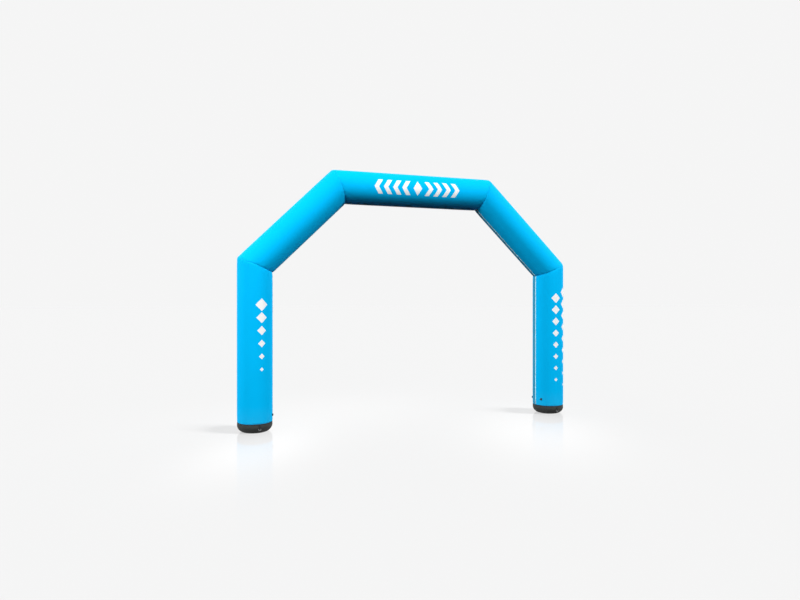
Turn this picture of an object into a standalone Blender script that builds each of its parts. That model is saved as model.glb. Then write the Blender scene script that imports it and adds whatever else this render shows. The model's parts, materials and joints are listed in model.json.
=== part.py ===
"""Inflatable arch: five air-filled fabric tubes mitred into a gateway that stands on two dark boots.

Metres, +Z up. The origin is on the floor midway between the boots, +X runs across the gateway and +Y
through it. A place on a tube is an angle round it, 0 on its outer side, pi on the side that faces the
passage, with the front of the arch (-Y) at 3/2 pi, and a distance along its axis.
"""

import math
from collections import namedtuple

import bmesh
import bpy
import numpy as np
from mathutils import Matrix

# Driving dimensions of the arch
TUBE_RADIUS = 0.260
LEG_X = 2.500  # axis of each leg, from the middle
KNEE_Z = 2.490  # where a leg's axis meets its diagonal's
CROWN_X = 1.230  # where a diagonal's axis meets the beam's
BEAM_Z = 3.740  # axis of the beam
BOOT_HEIGHT = 0.146  # floor to the seam between boot and cover
BOOT_ROUND = 0.104  # radius of the boot's rounded lower edge
PIECE_GAP = 0.0003  # between pieces that touch

# How the pressure draws the fabric in at each seam
SEAM_GROOVE = 0.005
GROOVE_REACH = 0.012
PUCKER_DEPTH = 0.003
PUCKER_REACH = 0.050
PUCKER_COUNTS = (10, 7)
PUCKER_PHASES = (0.7, 2.1)
BOOT_GATHER = 0.004  # deepest trough of the gathers over the boot's rounded edge

# Zip along the inner side of the tubes, from boot to boot
FACING_BACK = 0.080  # from the middle of the passage side to the facing's back edge
FACING_FRONT = 0.025  # and to the middle of the zip, which closes the facing's front edge
FACING_THICKNESS = 0.002
CHAIN_WIDTH = 0.016
CHAIN_HEIGHT = 0.0035
ZIP_END = 0.008  # between each boot's seam and the zip
SLIDER_Z = 0.205
SLIDER_SIZE = (0.013, 0.021, 0.006)
PULL_SIZE = (0.009, 0.034, 0.002)

# Valves near the foot of each leg
FLANGE_RADIUS = 0.020
FLANGE_THICKNESS = 0.003
CAP_RADIUS = 0.0155
CAP_HEIGHT = 0.0105
CAP_RIBS = 12
VALVES = {
    # name: (side of the leg, degrees from the passage side towards the front, height)
    "right_front_valve": (1, 33.0, 0.255),
    "right_back_valve": (1, -33.0, 0.250),
    "left_valve": (-1, 14.0, 0.242),
}

# Guy ring on the front of each boot
RING_TURNS = {
    # name: (side of the leg, degrees from the front towards +X)
    "left": (-1, 12.5),
    "right": (1, 5.0),
}
RING_Z = 0.078  # axis of the ring's bar
RING_WIRE = 0.0025
RING_BAR = 0.014  # half of the straight bar
RING_CORNER = 0.004
RING_DROP = 0.018
TAB_WIDTH = 0.022
TAB_TOP_Z = 0.132
WEB_THICKNESS = 0.0015
LOOP_CLEARANCE = 0.0004
LOOP_NECK = 0.019  # bar's axis to where the two layers of webbing meet

# Mesh steps
AROUND = 60
SEAM_ROWS = (0.0, 0.004, 0.010, 0.022, 0.050, 0.110)
ZIP_STATIONS = 4
TURNED_STEPS = 24
BOOT_ARC_STEPS = 7
RING_SIDES = 8

AXIS = (
    (-LEG_X, BOOT_HEIGHT),
    (-LEG_X, KNEE_Z),
    (-CROWN_X, BEAM_Z),
    (CROWN_X, BEAM_Z),
    (LEG_X, KNEE_Z),
    (LEG_X, BOOT_HEIGHT),
)
COVERS = ("left_leg_cover", "left_diagonal_cover", "beam_cover", "right_diagonal_cover", "right_leg_cover")

MATERIALS = {
    # name: (colour, roughness, metallic)
    "cover_fabric": ((0.0, 0.42, 0.80), 0.62, 0.0),
    "boot_fabric": ((0.035, 0.040, 0.040), 0.75, 0.0),
    "zip_white": ((0.85, 0.87, 0.88), 0.45, 0.0),
    "webbing": ((0.015, 0.016, 0.018), 0.85, 0.0),
    "ring_steel": ((0.60, 0.61, 0.62), 0.28, 1.0),
    "valve_plastic": ((0.012, 0.014, 0.016), 0.40, 0.0),
}

Tube = namedtuple("Tube", "start along outward length start_slope end_slope")


def clear_scene():
    for item in list(bpy.data.objects):
        bpy.data.objects.remove(item, do_unlink=True)


def material(name):
    """The Principled material of this name, made on first use."""
    made = bpy.data.materials.get(name)
    if made:
        return made
    colour, roughness, metallic = MATERIALS[name]
    made = bpy.data.materials.new(name)
    made.use_nodes = True
    shader = made.node_tree.nodes["Principled BSDF"]
    shader.inputs["Base Color"].default_value = (*colour, 1.0)
    shader.inputs["Roughness"].default_value = roughness
    shader.inputs["Metallic"].default_value = metallic
    made.diffuse_color = (*colour, 1.0)
    return made


def add_object(name, mesh, finish, matrix=None):
    mesh.materials.append(material(finish))
    item = bpy.data.objects.new(name, mesh)
    bpy.context.scene.collection.objects.link(item)
    if matrix is not None:
        item.matrix_world = matrix
    return item


def finish_mesh(name, builder, sharp_degrees=35.0):
    """A mesh from a bmesh, with its faces turned outwards and its round parts shaded smooth."""
    bmesh.ops.recalc_face_normals(builder, faces=builder.faces[:])
    mesh = bpy.data.meshes.new(name)
    builder.to_mesh(mesh)
    builder.free()
    mesh.shade_smooth()
    mesh.set_sharp_from_angle(angle=math.radians(sharp_degrees))
    return mesh


def bridge_rings(name, rings, caps):
    """A mesh skinned over rings of points, one row each: closed over its ends by "flat" or "fan" caps, or
    with the last ring joined to the first by "loop"."""
    rings = np.asarray(rings)
    count, size = rings.shape[:2]
    builder = bmesh.new()
    points = [[builder.verts.new(point) for point in ring] for ring in rings]
    last = count if caps == "loop" else count - 1
    for row in range(last):
        near, far = points[row], points[(row + 1) % count]
        for i in range(size):
            j = (i + 1) % size
            builder.faces.new((near[i], near[j], far[j], far[i]))
    for ring, place in ((points[0], rings[0]), (points[-1], rings[-1])):
        if caps == "flat":
            builder.faces.new(ring)
        elif caps == "fan":
            middle = builder.verts.new(place.mean(axis=0))
            for i in range(size):
                builder.faces.new((ring[i], ring[(i + 1) % size], middle))
    return finish_mesh(name, builder)


# Tubes


def tubes():
    """The five tubes in order. A seam's plane halves the angle between neighbouring axes, or is level at a
    boot. Its slope is how far it moves along the axis for each metre towards the outer side."""
    corners = [np.array(point) for point in AXIS]
    ways = [(b - a) / np.linalg.norm(b - a) for a, b in zip(corners, corners[1:])]
    normals = [ways[0]]
    normals += [(a + b) / np.linalg.norm(a + b) for a, b in zip(ways, ways[1:])]
    normals += [ways[-1]]
    made = []
    for i, along in enumerate(ways):
        outward = np.array((-along[1], along[0]))
        slopes = [-(outward @ normal) / (along @ normal) for normal in normals[i : i + 2]]
        length = np.linalg.norm(corners[i + 1] - corners[i])
        made.append(Tube(corners[i], along, outward, length, *slopes))
    return made


def tube_points(tube, angles, radii, distances):
    """Points at these angles, radii and distances along the tube's axis, as an array of x, y and z."""
    angles, radii, distances = np.broadcast_arrays(angles, radii, distances)
    out = radii * np.cos(angles)
    x = tube.start[0] + distances * tube.along[0] + out * tube.outward[0]
    z = tube.start[1] + distances * tube.along[1] + out * tube.outward[1]
    return np.stack((x, radii * np.sin(angles), z), axis=-1)


def drawn_in(angles, from_seam):
    """How far the fabric lies inside the full radius at a distance from a seam: a groove that dies out at
    once, and uneven puckers that die out further along."""
    waves = sum(np.cos(n * angles + phase) for n, phase in zip(PUCKER_COUNTS, PUCKER_PHASES))
    puckers = PUCKER_DEPTH * (0.5 - 0.25 * waves) * np.exp(-from_seam / PUCKER_REACH)
    return SEAM_GROOVE * np.exp(-from_seam / GROOVE_REACH) + puckers


def round_angles(steps=AROUND):
    return np.arange(steps) * 2.0 * math.pi / steps


def level_ring(radii, angles, height):
    """Points round the vertical axis at one height."""
    return np.stack((radii * np.cos(angles), radii * np.sin(angles), np.full(len(angles), height)), axis=-1)


def cover_rings(tube):
    """Rings of one tube between its two seam planes, close together near the seams. The rings near a seam are
    parallel to its plane, and the first stands off it by the gap between pieces."""
    angles = round_angles()
    rings = []
    for from_seam in SEAM_ROWS:
        radii = TUBE_RADIUS - drawn_in(angles, from_seam)
        distances = radii * np.cos(angles) * tube.start_slope + from_seam + PIECE_GAP
        rings.append(tube_points(tube, angles, radii, distances))
    for from_seam in reversed(SEAM_ROWS):
        radii = TUBE_RADIUS - drawn_in(angles, from_seam)
        distances = tube.length + radii * np.cos(angles) * tube.end_slope - from_seam - PIECE_GAP
        rings.append(tube_points(tube, angles, radii, distances))
    return rings


def make_covers():
    for name, tube in zip(COVERS, tubes()):
        mesh = bridge_rings(name, cover_rings(tube), "fan")
        add_object(name, mesh, "cover_fabric")


# Boots


def boot_radii(angles, height):
    """Radii of a boot at these angles and this height: an upright wall drawn in at the seam, then a quarter
    circle in to the sole, its gathers deepest halfway round it."""
    turn = math.asin(1.0 - min(height, BOOT_ROUND) / BOOT_ROUND)
    waves = sum(np.cos(n * angles - phase) for n, phase in zip(PUCKER_COUNTS, PUCKER_PHASES))
    gathers = BOOT_GATHER * math.sin(2.0 * turn) ** 2 * (0.5 - 0.25 * waves)
    seam = drawn_in(angles, BOOT_HEIGHT - height) * math.cos(turn)
    return TUBE_RADIUS - BOOT_ROUND * (1.0 - math.cos(turn)) - gathers - seam


def boot_rings():
    """Level rings from the seam down the wall and over the rounded edge to the flat sole."""
    angles = round_angles()
    wall = [BOOT_HEIGHT - row for row in SEAM_ROWS if row < BOOT_HEIGHT - BOOT_ROUND]
    edge = BOOT_ROUND * (1.0 - np.sin(np.linspace(0.0, math.pi / 2.0, BOOT_ARC_STEPS + 1)))
    return [level_ring(boot_radii(angles, height), angles, height) for height in wall + edge.tolist()]


def make_boots():
    for name, side in (("left_boot", -1), ("right_boot", 1)):
        mesh = bridge_rings(name, boot_rings(), "fan")
        add_object(name, mesh, "boot_fabric", Matrix.Translation((side * LEG_X, 0.0, 0.0)))


# Zip


def zip_rings(profile):
    """Rings of a strip that follows the tubes from boot to boot. Its profile lists an angle and a radius for
    each point, and at each knee it is cut on the seam's own plane."""
    angles, radii = np.array(profile).T
    out = radii * np.cos(angles)
    rings = []
    for index, tube in enumerate(tubes()):
        start = out * tube.start_slope + (ZIP_END if index == 0 else 0.0)
        end = tube.length + out * tube.end_slope - (ZIP_END if index == len(COVERS) - 1 else 0.0)
        for step in range(ZIP_STATIONS):
            rings.append(tube_points(tube, angles, radii, start + (end - start) * step / ZIP_STATIONS))
    rings.append(tube_points(tube, angles, radii, end))
    return rings


def strip_profile(first, last, inner, outer, crown=0.0, steps=4):
    """Closed profile of a strip between two angles and two radii, its outer side crowned by a half sine."""
    angles = np.linspace(first, last, steps + 1)
    bulge = outer + crown * np.sin(np.linspace(0.0, math.pi, steps + 1))
    return list(zip(angles, bulge)) + [(angle, inner) for angle in angles[::-1]]


def zip_angles():
    """Angles of the facing's back edge, of the joint between facing and chain, and of the chain's front."""
    zip_middle = math.pi + FACING_FRONT / TUBE_RADIUS
    chain = 0.5 * CHAIN_WIDTH / TUBE_RADIUS
    return math.pi - FACING_BACK / TUBE_RADIUS, zip_middle - chain, zip_middle + chain


def make_zip():
    back, middle, front = zip_angles()
    inner = TUBE_RADIUS + PIECE_GAP
    facing = strip_profile(back, middle - PIECE_GAP / TUBE_RADIUS, inner, inner + FACING_THICKNESS, steps=10)
    add_object("zip_facing", bridge_rings("zip_facing", zip_rings(facing), "flat"), "cover_fabric")
    edge = 0.6 * CHAIN_HEIGHT
    chain = strip_profile(middle, front, inner, inner + edge, CHAIN_HEIGHT - edge)
    add_object("zip_chain", bridge_rings("zip_chain", zip_rings(chain), "flat"), "zip_white")


def leg_frame(side, towards_front, radius, height):
    """Placing matrix on a leg: local Z points away from the leg's axis and local Y is up. The angle is in
    radians, from the side that faces the passage towards the front."""
    out = np.array((-side * math.cos(towards_front), -math.sin(towards_front), 0.0))
    across = np.cross((0.0, 0.0, 1.0), out)
    place = np.array((side * LEG_X, 0.0, height)) + radius * out
    matrix = np.eye(4)
    matrix[:3, 0], matrix[:3, 1], matrix[:3, 2], matrix[:3, 3] = across, (0.0, 0.0, 1.0), out, place
    return Matrix(matrix.tolist())


def block(name, size, bevel):
    """A block of this width, height and thickness, standing on its origin's plane, with rounded edges."""
    builder = bmesh.new()
    bmesh.ops.create_cube(builder, size=1.0)
    bmesh.ops.scale(builder, vec=size, verts=builder.verts)
    bmesh.ops.translate(builder, vec=(0.0, 0.0, 0.5 * size[2]), verts=builder.verts)
    bmesh.ops.bevel(builder, geom=builder.edges[:], offset=bevel, segments=2, affect="EDGES")
    return finish_mesh(name, builder)


def make_slider():
    """The slider, closed at the foot of the right leg, with its pull hanging from it over the chain."""
    chain = FACING_FRONT / TUBE_RADIUS
    seat = TUBE_RADIUS + 2.0 * PIECE_GAP + CHAIN_HEIGHT
    body = block("zip_slider", SLIDER_SIZE, 0.2 * SLIDER_SIZE[2])
    add_object("zip_slider", body, "ring_steel", leg_frame(1, chain, seat, SLIDER_Z))
    pull = block("zip_pull", PULL_SIZE, 0.3 * PULL_SIZE[2])
    pull_z = SLIDER_Z - 0.5 * (SLIDER_SIZE[1] + PULL_SIZE[1]) - PIECE_GAP
    add_object("zip_pull", pull, "ring_steel", leg_frame(1, chain, seat, pull_z))


# Valves


def turned(name, profile, ribs=0.0):
    """A solid turned about local Z from a profile of radius, height and how strongly the ribs show there. The
    ribs' grooves take this share of the radius off at every second step round."""
    cut = ribs * (np.arange(TURNED_STEPS) % (TURNED_STEPS // CAP_RIBS) == 1)
    angles = round_angles(TURNED_STEPS)
    rings = [level_ring(radius * (1.0 - cut * shown), angles, height) for radius, height, shown in profile]
    return bridge_rings(name, rings, "fan")


def make_valves():
    edge = 0.3 * FLANGE_THICKNESS
    flange = (
        (FLANGE_RADIUS - 0.5 * edge, 0.0, 0.0),
        (FLANGE_RADIUS, edge, 0.0),
        (FLANGE_RADIUS, FLANGE_THICKNESS - edge, 0.0),
        (FLANGE_RADIUS - 1.5 * edge, FLANGE_THICKNESS, 0.0),
    )
    cap = (
        (CAP_RADIUS, 0.0, 1.0),
        (CAP_RADIUS, 0.70 * CAP_HEIGHT, 1.0),
        (0.93 * CAP_RADIUS, 0.88 * CAP_HEIGHT, 0.5),
        (0.78 * CAP_RADIUS, 0.97 * CAP_HEIGHT, 0.0),
        (0.40 * CAP_RADIUS, CAP_HEIGHT, 0.0),
    )
    for name, (side, degrees, height) in VALVES.items():
        turn = math.radians(degrees)
        seat = TUBE_RADIUS + PIECE_GAP
        place = leg_frame(side, turn, seat, height)
        add_object(name + "_flange", turned(name + "_flange", flange), "valve_plastic", place)
        place = leg_frame(side, turn, seat + FLANGE_THICKNESS + PIECE_GAP, height)
        add_object(name + "_cap", turned(name + "_cap", cap, ribs=0.07), "valve_plastic", place)


# Guy rings


def arc(centre, radius, first, last, steps):
    """Points on an arc between two angles, in degrees, both ends included."""
    turn = np.radians(np.linspace(first, last, steps + 1))
    return [(centre[0] + radius * math.cos(t), centre[1] + radius * math.sin(t)) for t in turn]


def tab_mesh():
    """A strip of webbing doubled round the ring's bar: its side outline in local Z and Y about the bar, with
    a round hole for the bar, drawn out to the tab's width. Its back is flat, and its front layer runs in."""
    hole = RING_WIRE + LOOP_CLEARANCE
    loop = hole + WEB_THICKNESS
    top = TAB_TOP_Z - RING_Z
    front = 2.0 * WEB_THICKNESS - loop
    outline = arc((0.0, 0.0), loop, -180.0, 45.0, 15)
    outline += [(front, LOOP_NECK), (front, top), (-loop, top), (-loop, 2.0 * loop), (-loop, loop)]
    outline = np.array(outline)
    # Each point of the hole lies where the straight line to its outline point stays inside the webbing.
    turn = np.radians(np.concatenate((np.linspace(-180.0, 45.0, 16), (100.0, 126.0, 138.0, 150.0, 165.0))))
    inner = hole * np.stack((np.cos(turn), np.sin(turn)), axis=-1)
    sections = (outline, inner, inner, outline)
    sides = (-0.5, -0.5, 0.5, 0.5)
    rings = [
        np.stack((np.full(len(outline), side * TAB_WIDTH), points[:, 1], points[:, 0]), axis=-1)
        for points, side in zip(sections, sides)
    ]
    return bridge_rings("ring_tab", rings, "loop")


def ring_mesh():
    """Round wire bent to a D: a straight bar, two tight corners and half an ellipse that hangs below it."""
    corner = RING_CORNER
    wide = RING_BAR + corner
    turn = np.radians(np.linspace(0.0, -180.0, 19)[1:-1])
    path = [(x, 0.0) for x in np.linspace(-RING_BAR, RING_BAR, 4)]
    path += arc((RING_BAR, -corner), corner, 60.0, 0.0, 2)
    path += [(wide * math.cos(t), -corner + RING_DROP * math.sin(t)) for t in turn]
    path += arc((-RING_BAR, -corner), corner, 180.0, 120.0, 2)
    path = np.array(path)
    way = np.roll(path, -1, axis=0) - np.roll(path, 1, axis=0)
    way /= np.linalg.norm(way, axis=1, keepdims=True)
    normal = np.stack((-way[:, 1], way[:, 0]), axis=-1)
    rings = []
    around = round_angles(RING_SIDES)
    for point, side in zip(path, normal):
        flat = point + RING_WIRE * np.cos(around)[:, None] * side
        rings.append(np.stack((flat[:, 0], flat[:, 1], RING_WIRE * np.sin(around)), axis=-1))
    return bridge_rings("guy_ring", rings, "loop")


def make_guy_rings():
    """The tabs lie flat on the boots, so each is seated on the boot's furthest point behind it."""
    loop = RING_WIRE + LOOP_CLEARANCE + WEB_THICKNESS
    for name, (side, degrees) in RING_TURNS.items():
        turn = math.radians(degrees)
        front = -math.pi / 2.0 + turn
        offsets = np.linspace(-0.5, 0.5, 5) * TAB_WIDTH / TUBE_RADIUS
        heights = np.linspace(RING_Z, TAB_TOP_Z, 12)
        seat = max((boot_radii(front + offsets, height) * np.cos(offsets)).max() for height in heights)
        # +X is towards the passage on the left leg and away from it on the right one.
        place = leg_frame(side, math.pi / 2.0 + side * turn, seat + PIECE_GAP + loop, RING_Z)
        add_object(name + "_ring_tab", tab_mesh(), "webbing", place)
        add_object(name + "_guy_ring", ring_mesh(), "ring_steel", place)


def main():
    clear_scene()
    make_covers()
    make_boots()
    make_zip()
    make_slider()
    make_valves()
    make_guy_rings()


main()
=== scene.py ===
"""Inflatable arch: a gateway of five air-filled fabric tubes that stands on two dark boots.

The packed solids are the frame, and this file dresses them: covers with puckered seams, gathered boots, a zip
with its teeth and slider, valves, webbing tabs with their rings, and the sewing. Metres, +Z up, the origin on
the floor midway between the boots. +X runs across the gateway and the front is -Y.

A place on a tube is an angle round it, 0 on its outer side, pi on the side that faces the passage and
3/2 pi on the front, and a distance along its axis.
"""

import json
import math
from collections import namedtuple

import bpy
import numpy as np
from bpy.props import FloatProperty, FloatVectorProperty, IntProperty, PointerProperty
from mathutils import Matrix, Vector

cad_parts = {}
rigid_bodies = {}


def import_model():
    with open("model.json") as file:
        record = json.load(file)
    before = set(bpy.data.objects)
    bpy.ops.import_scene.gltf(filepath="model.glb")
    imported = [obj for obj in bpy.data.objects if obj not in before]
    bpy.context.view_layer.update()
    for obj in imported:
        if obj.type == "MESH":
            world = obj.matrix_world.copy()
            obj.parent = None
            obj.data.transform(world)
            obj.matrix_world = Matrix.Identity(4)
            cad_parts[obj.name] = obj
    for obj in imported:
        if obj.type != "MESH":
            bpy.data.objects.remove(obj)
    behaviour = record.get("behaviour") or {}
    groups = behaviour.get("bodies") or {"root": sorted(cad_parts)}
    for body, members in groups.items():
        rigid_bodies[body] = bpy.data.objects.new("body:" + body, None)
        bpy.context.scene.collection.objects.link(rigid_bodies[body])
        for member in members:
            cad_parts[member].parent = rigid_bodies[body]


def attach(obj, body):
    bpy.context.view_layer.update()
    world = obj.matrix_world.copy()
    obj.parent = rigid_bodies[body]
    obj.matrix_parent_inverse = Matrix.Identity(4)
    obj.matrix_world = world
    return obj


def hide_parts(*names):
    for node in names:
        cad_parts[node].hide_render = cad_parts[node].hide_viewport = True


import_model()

bl_info = {
    "name": "Inflatable Arch",
    "version": (1, 0, 0),
    "blender": (4, 5, 0),
    "location": "3D View > Sidebar > Arch",
    "description": "Dresses the frame of an inflatable arch with its fabric, sewing, zip and fittings",
    "category": "Add Mesh",
}

FULL_TURN = 2.0 * math.pi
FRONT = 1.5 * math.pi
UPWARDS = (0.0, 0.0, 1.0)

# The frame's own sizes and names
TUBE_RADIUS = 0.260
LEG_X = 2.500
KNEE_Z = 2.490
CROWN_X = 1.230
BEAM_Z = 3.740
BOOT_HEIGHT = 0.146
BOOT_ROUND = 0.104
PIECE_GAP = 0.0003
AXIS = (
    (-LEG_X, BOOT_HEIGHT),
    (-LEG_X, KNEE_Z),
    (-CROWN_X, BEAM_Z),
    (CROWN_X, BEAM_Z),
    (LEG_X, KNEE_Z),
    (LEG_X, BOOT_HEIGHT),
)
LAST_TUBE = len(AXIS) - 2
COVERS = ("left_leg_cover", "left_diagonal_cover", "beam_cover", "right_diagonal_cover", "right_leg_cover")
KNEES = ("left_knee", "left_crown", "right_crown", "right_knee")
BOOTS = {"left_boot": -1, "right_boot": 1}
SEAM_GROOVE = 0.005
GROOVE_REACH = 0.012
PUCKER_DEPTH = 0.003
PUCKER_REACH = 0.050
PUCKERS = ((10, 0.7), (7, 2.1))  # how many go round, and their phase
BOOT_GATHER = 0.004
FACING_BACK = 0.080
FACING_FRONT = 0.025
FACING_THICKNESS = 0.002
CHAIN_WIDTH = 0.016
CHAIN_HEIGHT = 0.0035
ZIP_END = 0.008
SLIDER_Z = 0.205
SLIDER_SIZE = (0.013, 0.021, 0.006)
PULL_SIZE = (0.009, 0.034, 0.002)
FLANGE_RADIUS = 0.020
FLANGE_THICKNESS = 0.003
CAP_RADIUS = 0.0155
CAP_HEIGHT = 0.0105
VALVES = {
    # name: (side of the leg, degrees from the passage side towards the front, height)
    "right_front_valve": (1, 33.0, 0.255),
    "right_back_valve": (1, -33.0, 0.250),
    "left_valve": (-1, 14.0, 0.242),
}
RING_TURNS = {
    # name: (side of the leg, degrees from the front towards +X)
    "left": (-1, 12.5),
    "right": (1, 5.0),
}
RING_Z = 0.078
RING_WIRE = 0.0025
RING_BAR = 0.014
RING_CORNER = 0.004
RING_DROP = 0.018
TAB_WIDTH = 0.022
TAB_TOP_Z = 0.132
WEB_THICKNESS = 0.0015
LOOP_CLEARANCE = 0.0004
LOOP_NECK = 0.019

# Fine wrinkles that the frame leaves out: how many go round, how deep, how far they reach from a seam
WRINKLES = ((17, 0.0017, 0.110), (26, 0.0017, 0.075), (41, 0.0013, 0.045), (63, 0.0007, 0.022))
WRINKLE_DRIFT = 2.6  # how far a wrinkle leans round the tube, in radians for each metre away from the seam
PASSAGE_SHARE = 0.8  # how much deeper wrinkles are on the passage side of a knee
BOOT_WRINKLES = ((23, 0.0014), (34, 0.0009))  # how many go round, how deep

# Mesh steps
AROUND = 240
AROUND_STITCHES = 3 * AROUND
SEAM_ROWS = np.array(
    (0.0, 0.0015, 0.003, 0.005, 0.007, 0.010, 0.013, 0.017)
    + (0.022, 0.028, 0.035, 0.044, 0.055, 0.068, 0.083, 0.110)
)
ROW_STEP = 0.055
BOOT_EDGE_ROWS = 34
BOOT_SOLE_ROWS = 8
SOLE_SHARES = (0.9, 0.05)  # of the radius, at a sole's first and last row
PATCH_STEPS = 96
FACING_STEPS = 36
ZIP_TAPE_STEPS = 12
SHARP_EDGE = 40.0
VALVE_SHARP_EDGE = 30.0

# Sewing, tape and teeth
UV_NAME = "surface"
STITCH_SHARE = 0.8  # of the pitch that a stitch covers
HEM_WIDTH = 0.0240
HEM_LIFT = 0.0008
KNEE_STITCH = 0.0070
HEM_STITCHES = (0.0050, 0.0200)
TAPE_LOW = 0.1332
TAPE_HIGH = 0.1452
TAPE_THICKNESS = 0.0011
TAPE_STITCH = 0.0025
FACING_STITCH = 0.0045
FACING_PITCH = 0.0060
STITCH_DENT = 0.0005
DENT_REACH = 0.0015
ZIP_TAPE_THICKNESS = 0.0008
TAPE_EDGE_STITCH = 0.0016
TEETH_FOOT = 0.8  # share of the zip tape's thickness at which the teeth stand
TEETH_FROM_FACING = 0.0080
TEETH_APART = 0.0009
TOOTH_WIDTH = 0.0040
TOOTH_HEIGHT = 0.0021
TOOTH_SHARE = 0.42  # of the pitch that a tooth takes up along the zip
TOOTH_TOP = (0.86, 0.62)  # shares of its foot's width and length
TEETH_KNEE_GAP = 0.001
STITCH_KNEE_GAP = 0.003
PATCH_HOLE = 0.0195
PATCH_RADIUS = 0.0300
PATCH_THICKNESS = 0.0008
PATCH_STITCH = 0.0030
PATCH_PITCH = 0.0045
TAB_PITCH = 0.0028
TAB_EDGE_STITCH = 0.003
TAB_FOLD = 0.0008
TAB_THINNED = 0.00035  # how much thinner the webbing is at its edges
NECK_SWING = 0.0006
BACK_GAPS = (0.004, 0.0006)  # from the tab's top and from the bar's middle to the points of its straight back
BOX_RISE = 0.002  # from the neck to the crossed box of stitches

# A valve's profiles: shares of its radius and of its height, and how strongly the ribs show there
FLANGE_PROFILE = (
    (0.600, 0.00, 0.0),
    (0.985, 0.00, 0.0),
    (1.000, 0.15, 1.0),
    (1.000, 0.45, 1.0),
    (0.975, 0.60, 1.0),
    (0.900, 0.66, 0.0),
    (0.885, 0.92, 0.0),
    (0.865, 1.00, 0.0),
    (0.600, 1.00, 0.0),
)
CAP_PROFILE = (
    (0.900, 0.00, 0.0),
    (0.970, 0.03, 1.0),
    (1.000, 0.10, 1.0),
    (1.000, 0.68, 1.0),
    (0.985, 0.80, 1.0),
    (0.940, 0.90, 0.6),
    (0.860, 0.98, 0.2),
    (0.800, 1.00, 0.0),
    (0.680, 1.00, 0.0),
    (0.630, 0.94, 0.0),
    (0.580, 0.88, 0.0),
    (0.100, 0.88, 0.0),
)
# Places round it, ribs and the share of the radius that they cut away
FLANGE_RIBBING = (96, 24, 0.03)
CAP_RIBBING = (240, 24, 0.075)
KEEPER_SECTION = (0.0020, 0.0005)
KEEPER_MIDDLE = 0.0032
KEEPER_RISE = 0.0034
KEEPER_REACH = 0.0022

# Print
PRINT_EDGE = 0.0006
CHEVRON_LEAN = 0.62  # how far a chevron's end lies behind its point, for each metre of height
CHEVRON_SHARE = 0.48  # of the pitch that is printed
LEFT_COLUMN = -0.09
LEFT_DIAMONDS = (0.88, 1.98)  # height of the lowest and the highest
RIGHT_DIAMONDS = (0.45, 2.15)
DUST = (0.42, 0.44, 0.44)

# Stage
CAMERA_PLACE = (-2.906, -8.823, 1.976)
CAMERA_TURN = (89.947, 0.0, -16.94)
SENSOR_WIDTH = 36.0
KEY_PLACE = (-8.43, -5.72, 8.32)
FILL_PLACE = (14.0, -10.2, 16.0)
LIGHT_AIM = (0.0, 0.0, 2.0)
SURROUND_LOW = 3.60
SURROUND_FALL = 4.0
SURROUND_LEFT = 0.13
SURROUND_BACK = 0.897
HORIZON = 0.077
HORIZON_SOFTNESS = 0.15
FLOOR_REACH = 150.0
FLOOR_LIGHT = 0.880  # brightness of a white floor under the surround alone
FLOOR_SHARES = (0.10, 0.19)  # of the floor's brightness that the surround and the side light give
SIDE_LIGHT_TURN = (77.5, 0.0, 60.0)  # it shines to the left along the arch, on the floor alone
SIDE_LIGHT_WIDTH = 14.0
SHADOW_PIECES = ("left_boot_shell", "right_boot_shell")
GLOWS = (
    # middle on the floor, reach across the view and along it, light it adds
    ((-2.48, -1.05), (0.72, 1.20), 0.110),
    ((1.62, -1.18), (1.00, 1.55), 0.097),
    ((-1.47, 0.83), (2.30, 1.79), 0.039),
)
GLOW_SLANT = 0.30  # to the right for each metre towards the back
POLISH = 0.19
POLISH_REACH = 1.7
POLISH_ROUGHNESS = 0.06

# A tube's directions are pairs of x and z, and those of a course or a seat are x, y and z
Tube = namedtuple("Tube", "start along outward length start_slope end_slope")
Course = namedtuple("Course", "places along out")
Seat = namedtuple("Seat", "origin across up out")


# Sizes and colours that a user would change


def colour_property(name, description, default):
    limits = {"subtype": "COLOR", "size": 3, "min": 0.0, "max": 1.0}
    return FloatVectorProperty(name=name, description=description, default=default, **limits)


def number_property(name, description, default, largest, least=0.0, **settings):
    limits = {"min": least, "max": largest, **settings}
    return FloatProperty(name=name, description=description, default=default, **limits)


def length_property(name, description, default, largest):
    return number_property(name, description, default, largest, subtype="DISTANCE", unit="LENGTH")


def power_property(name, description, default):
    return number_property(name, description, default, 20000.0, unit="POWER")


class ArchFabric(bpy.types.PropertyGroup):
    """Colours and weave of the covers and boots"""

    cover: colour_property("Cover", "Colour of the tubes' fabric", (0.0, 0.49, 0.94))
    facing: colour_property("Zip facing", "Colour of the flat strip beside the zip", (0.035, 0.30, 0.49))
    boot: colour_property("Boot", "Colour of the boots' coated fabric", (0.040, 0.043, 0.041))
    yarn_pitch: length_property("Yarn pitch", "Distance between yarns of the cover's weave", 0.0012, 0.01)
    boot_pitch: length_property("Boot yarn pitch", "Distance between yarns of the boots' cloth", 0.0022, 0.01)


class ArchPrint(bpy.types.PropertyGroup):
    """The white motifs printed on the covers"""

    ink: colour_property("Ink", "Colour of the printed motifs", (0.93, 0.93, 0.93))
    chevron_count: IntProperty(
        name="Chevrons",
        description="Chevrons on each side of the beam's middle",
        default=4,
        min=0,
        max=12,
    )
    chevron_height: length_property("Chevron height", "Height of the beam's chevrons", 0.230, 0.5)
    chevron_pitch: length_property("Chevron pitch", "Distance from one chevron to the next", 0.150, 0.5)
    diamond_pitch: length_property("Diamond pitch", "Distance between diamonds on the right leg", 0.200, 0.5)
    largest_diamond: length_property("Largest diamond", "Diagonal of the top diamonds", 0.180, 0.4)
    smallest_diamond: length_property("Smallest diamond", "Diagonal of the bottom diamonds", 0.050, 0.4)


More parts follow.
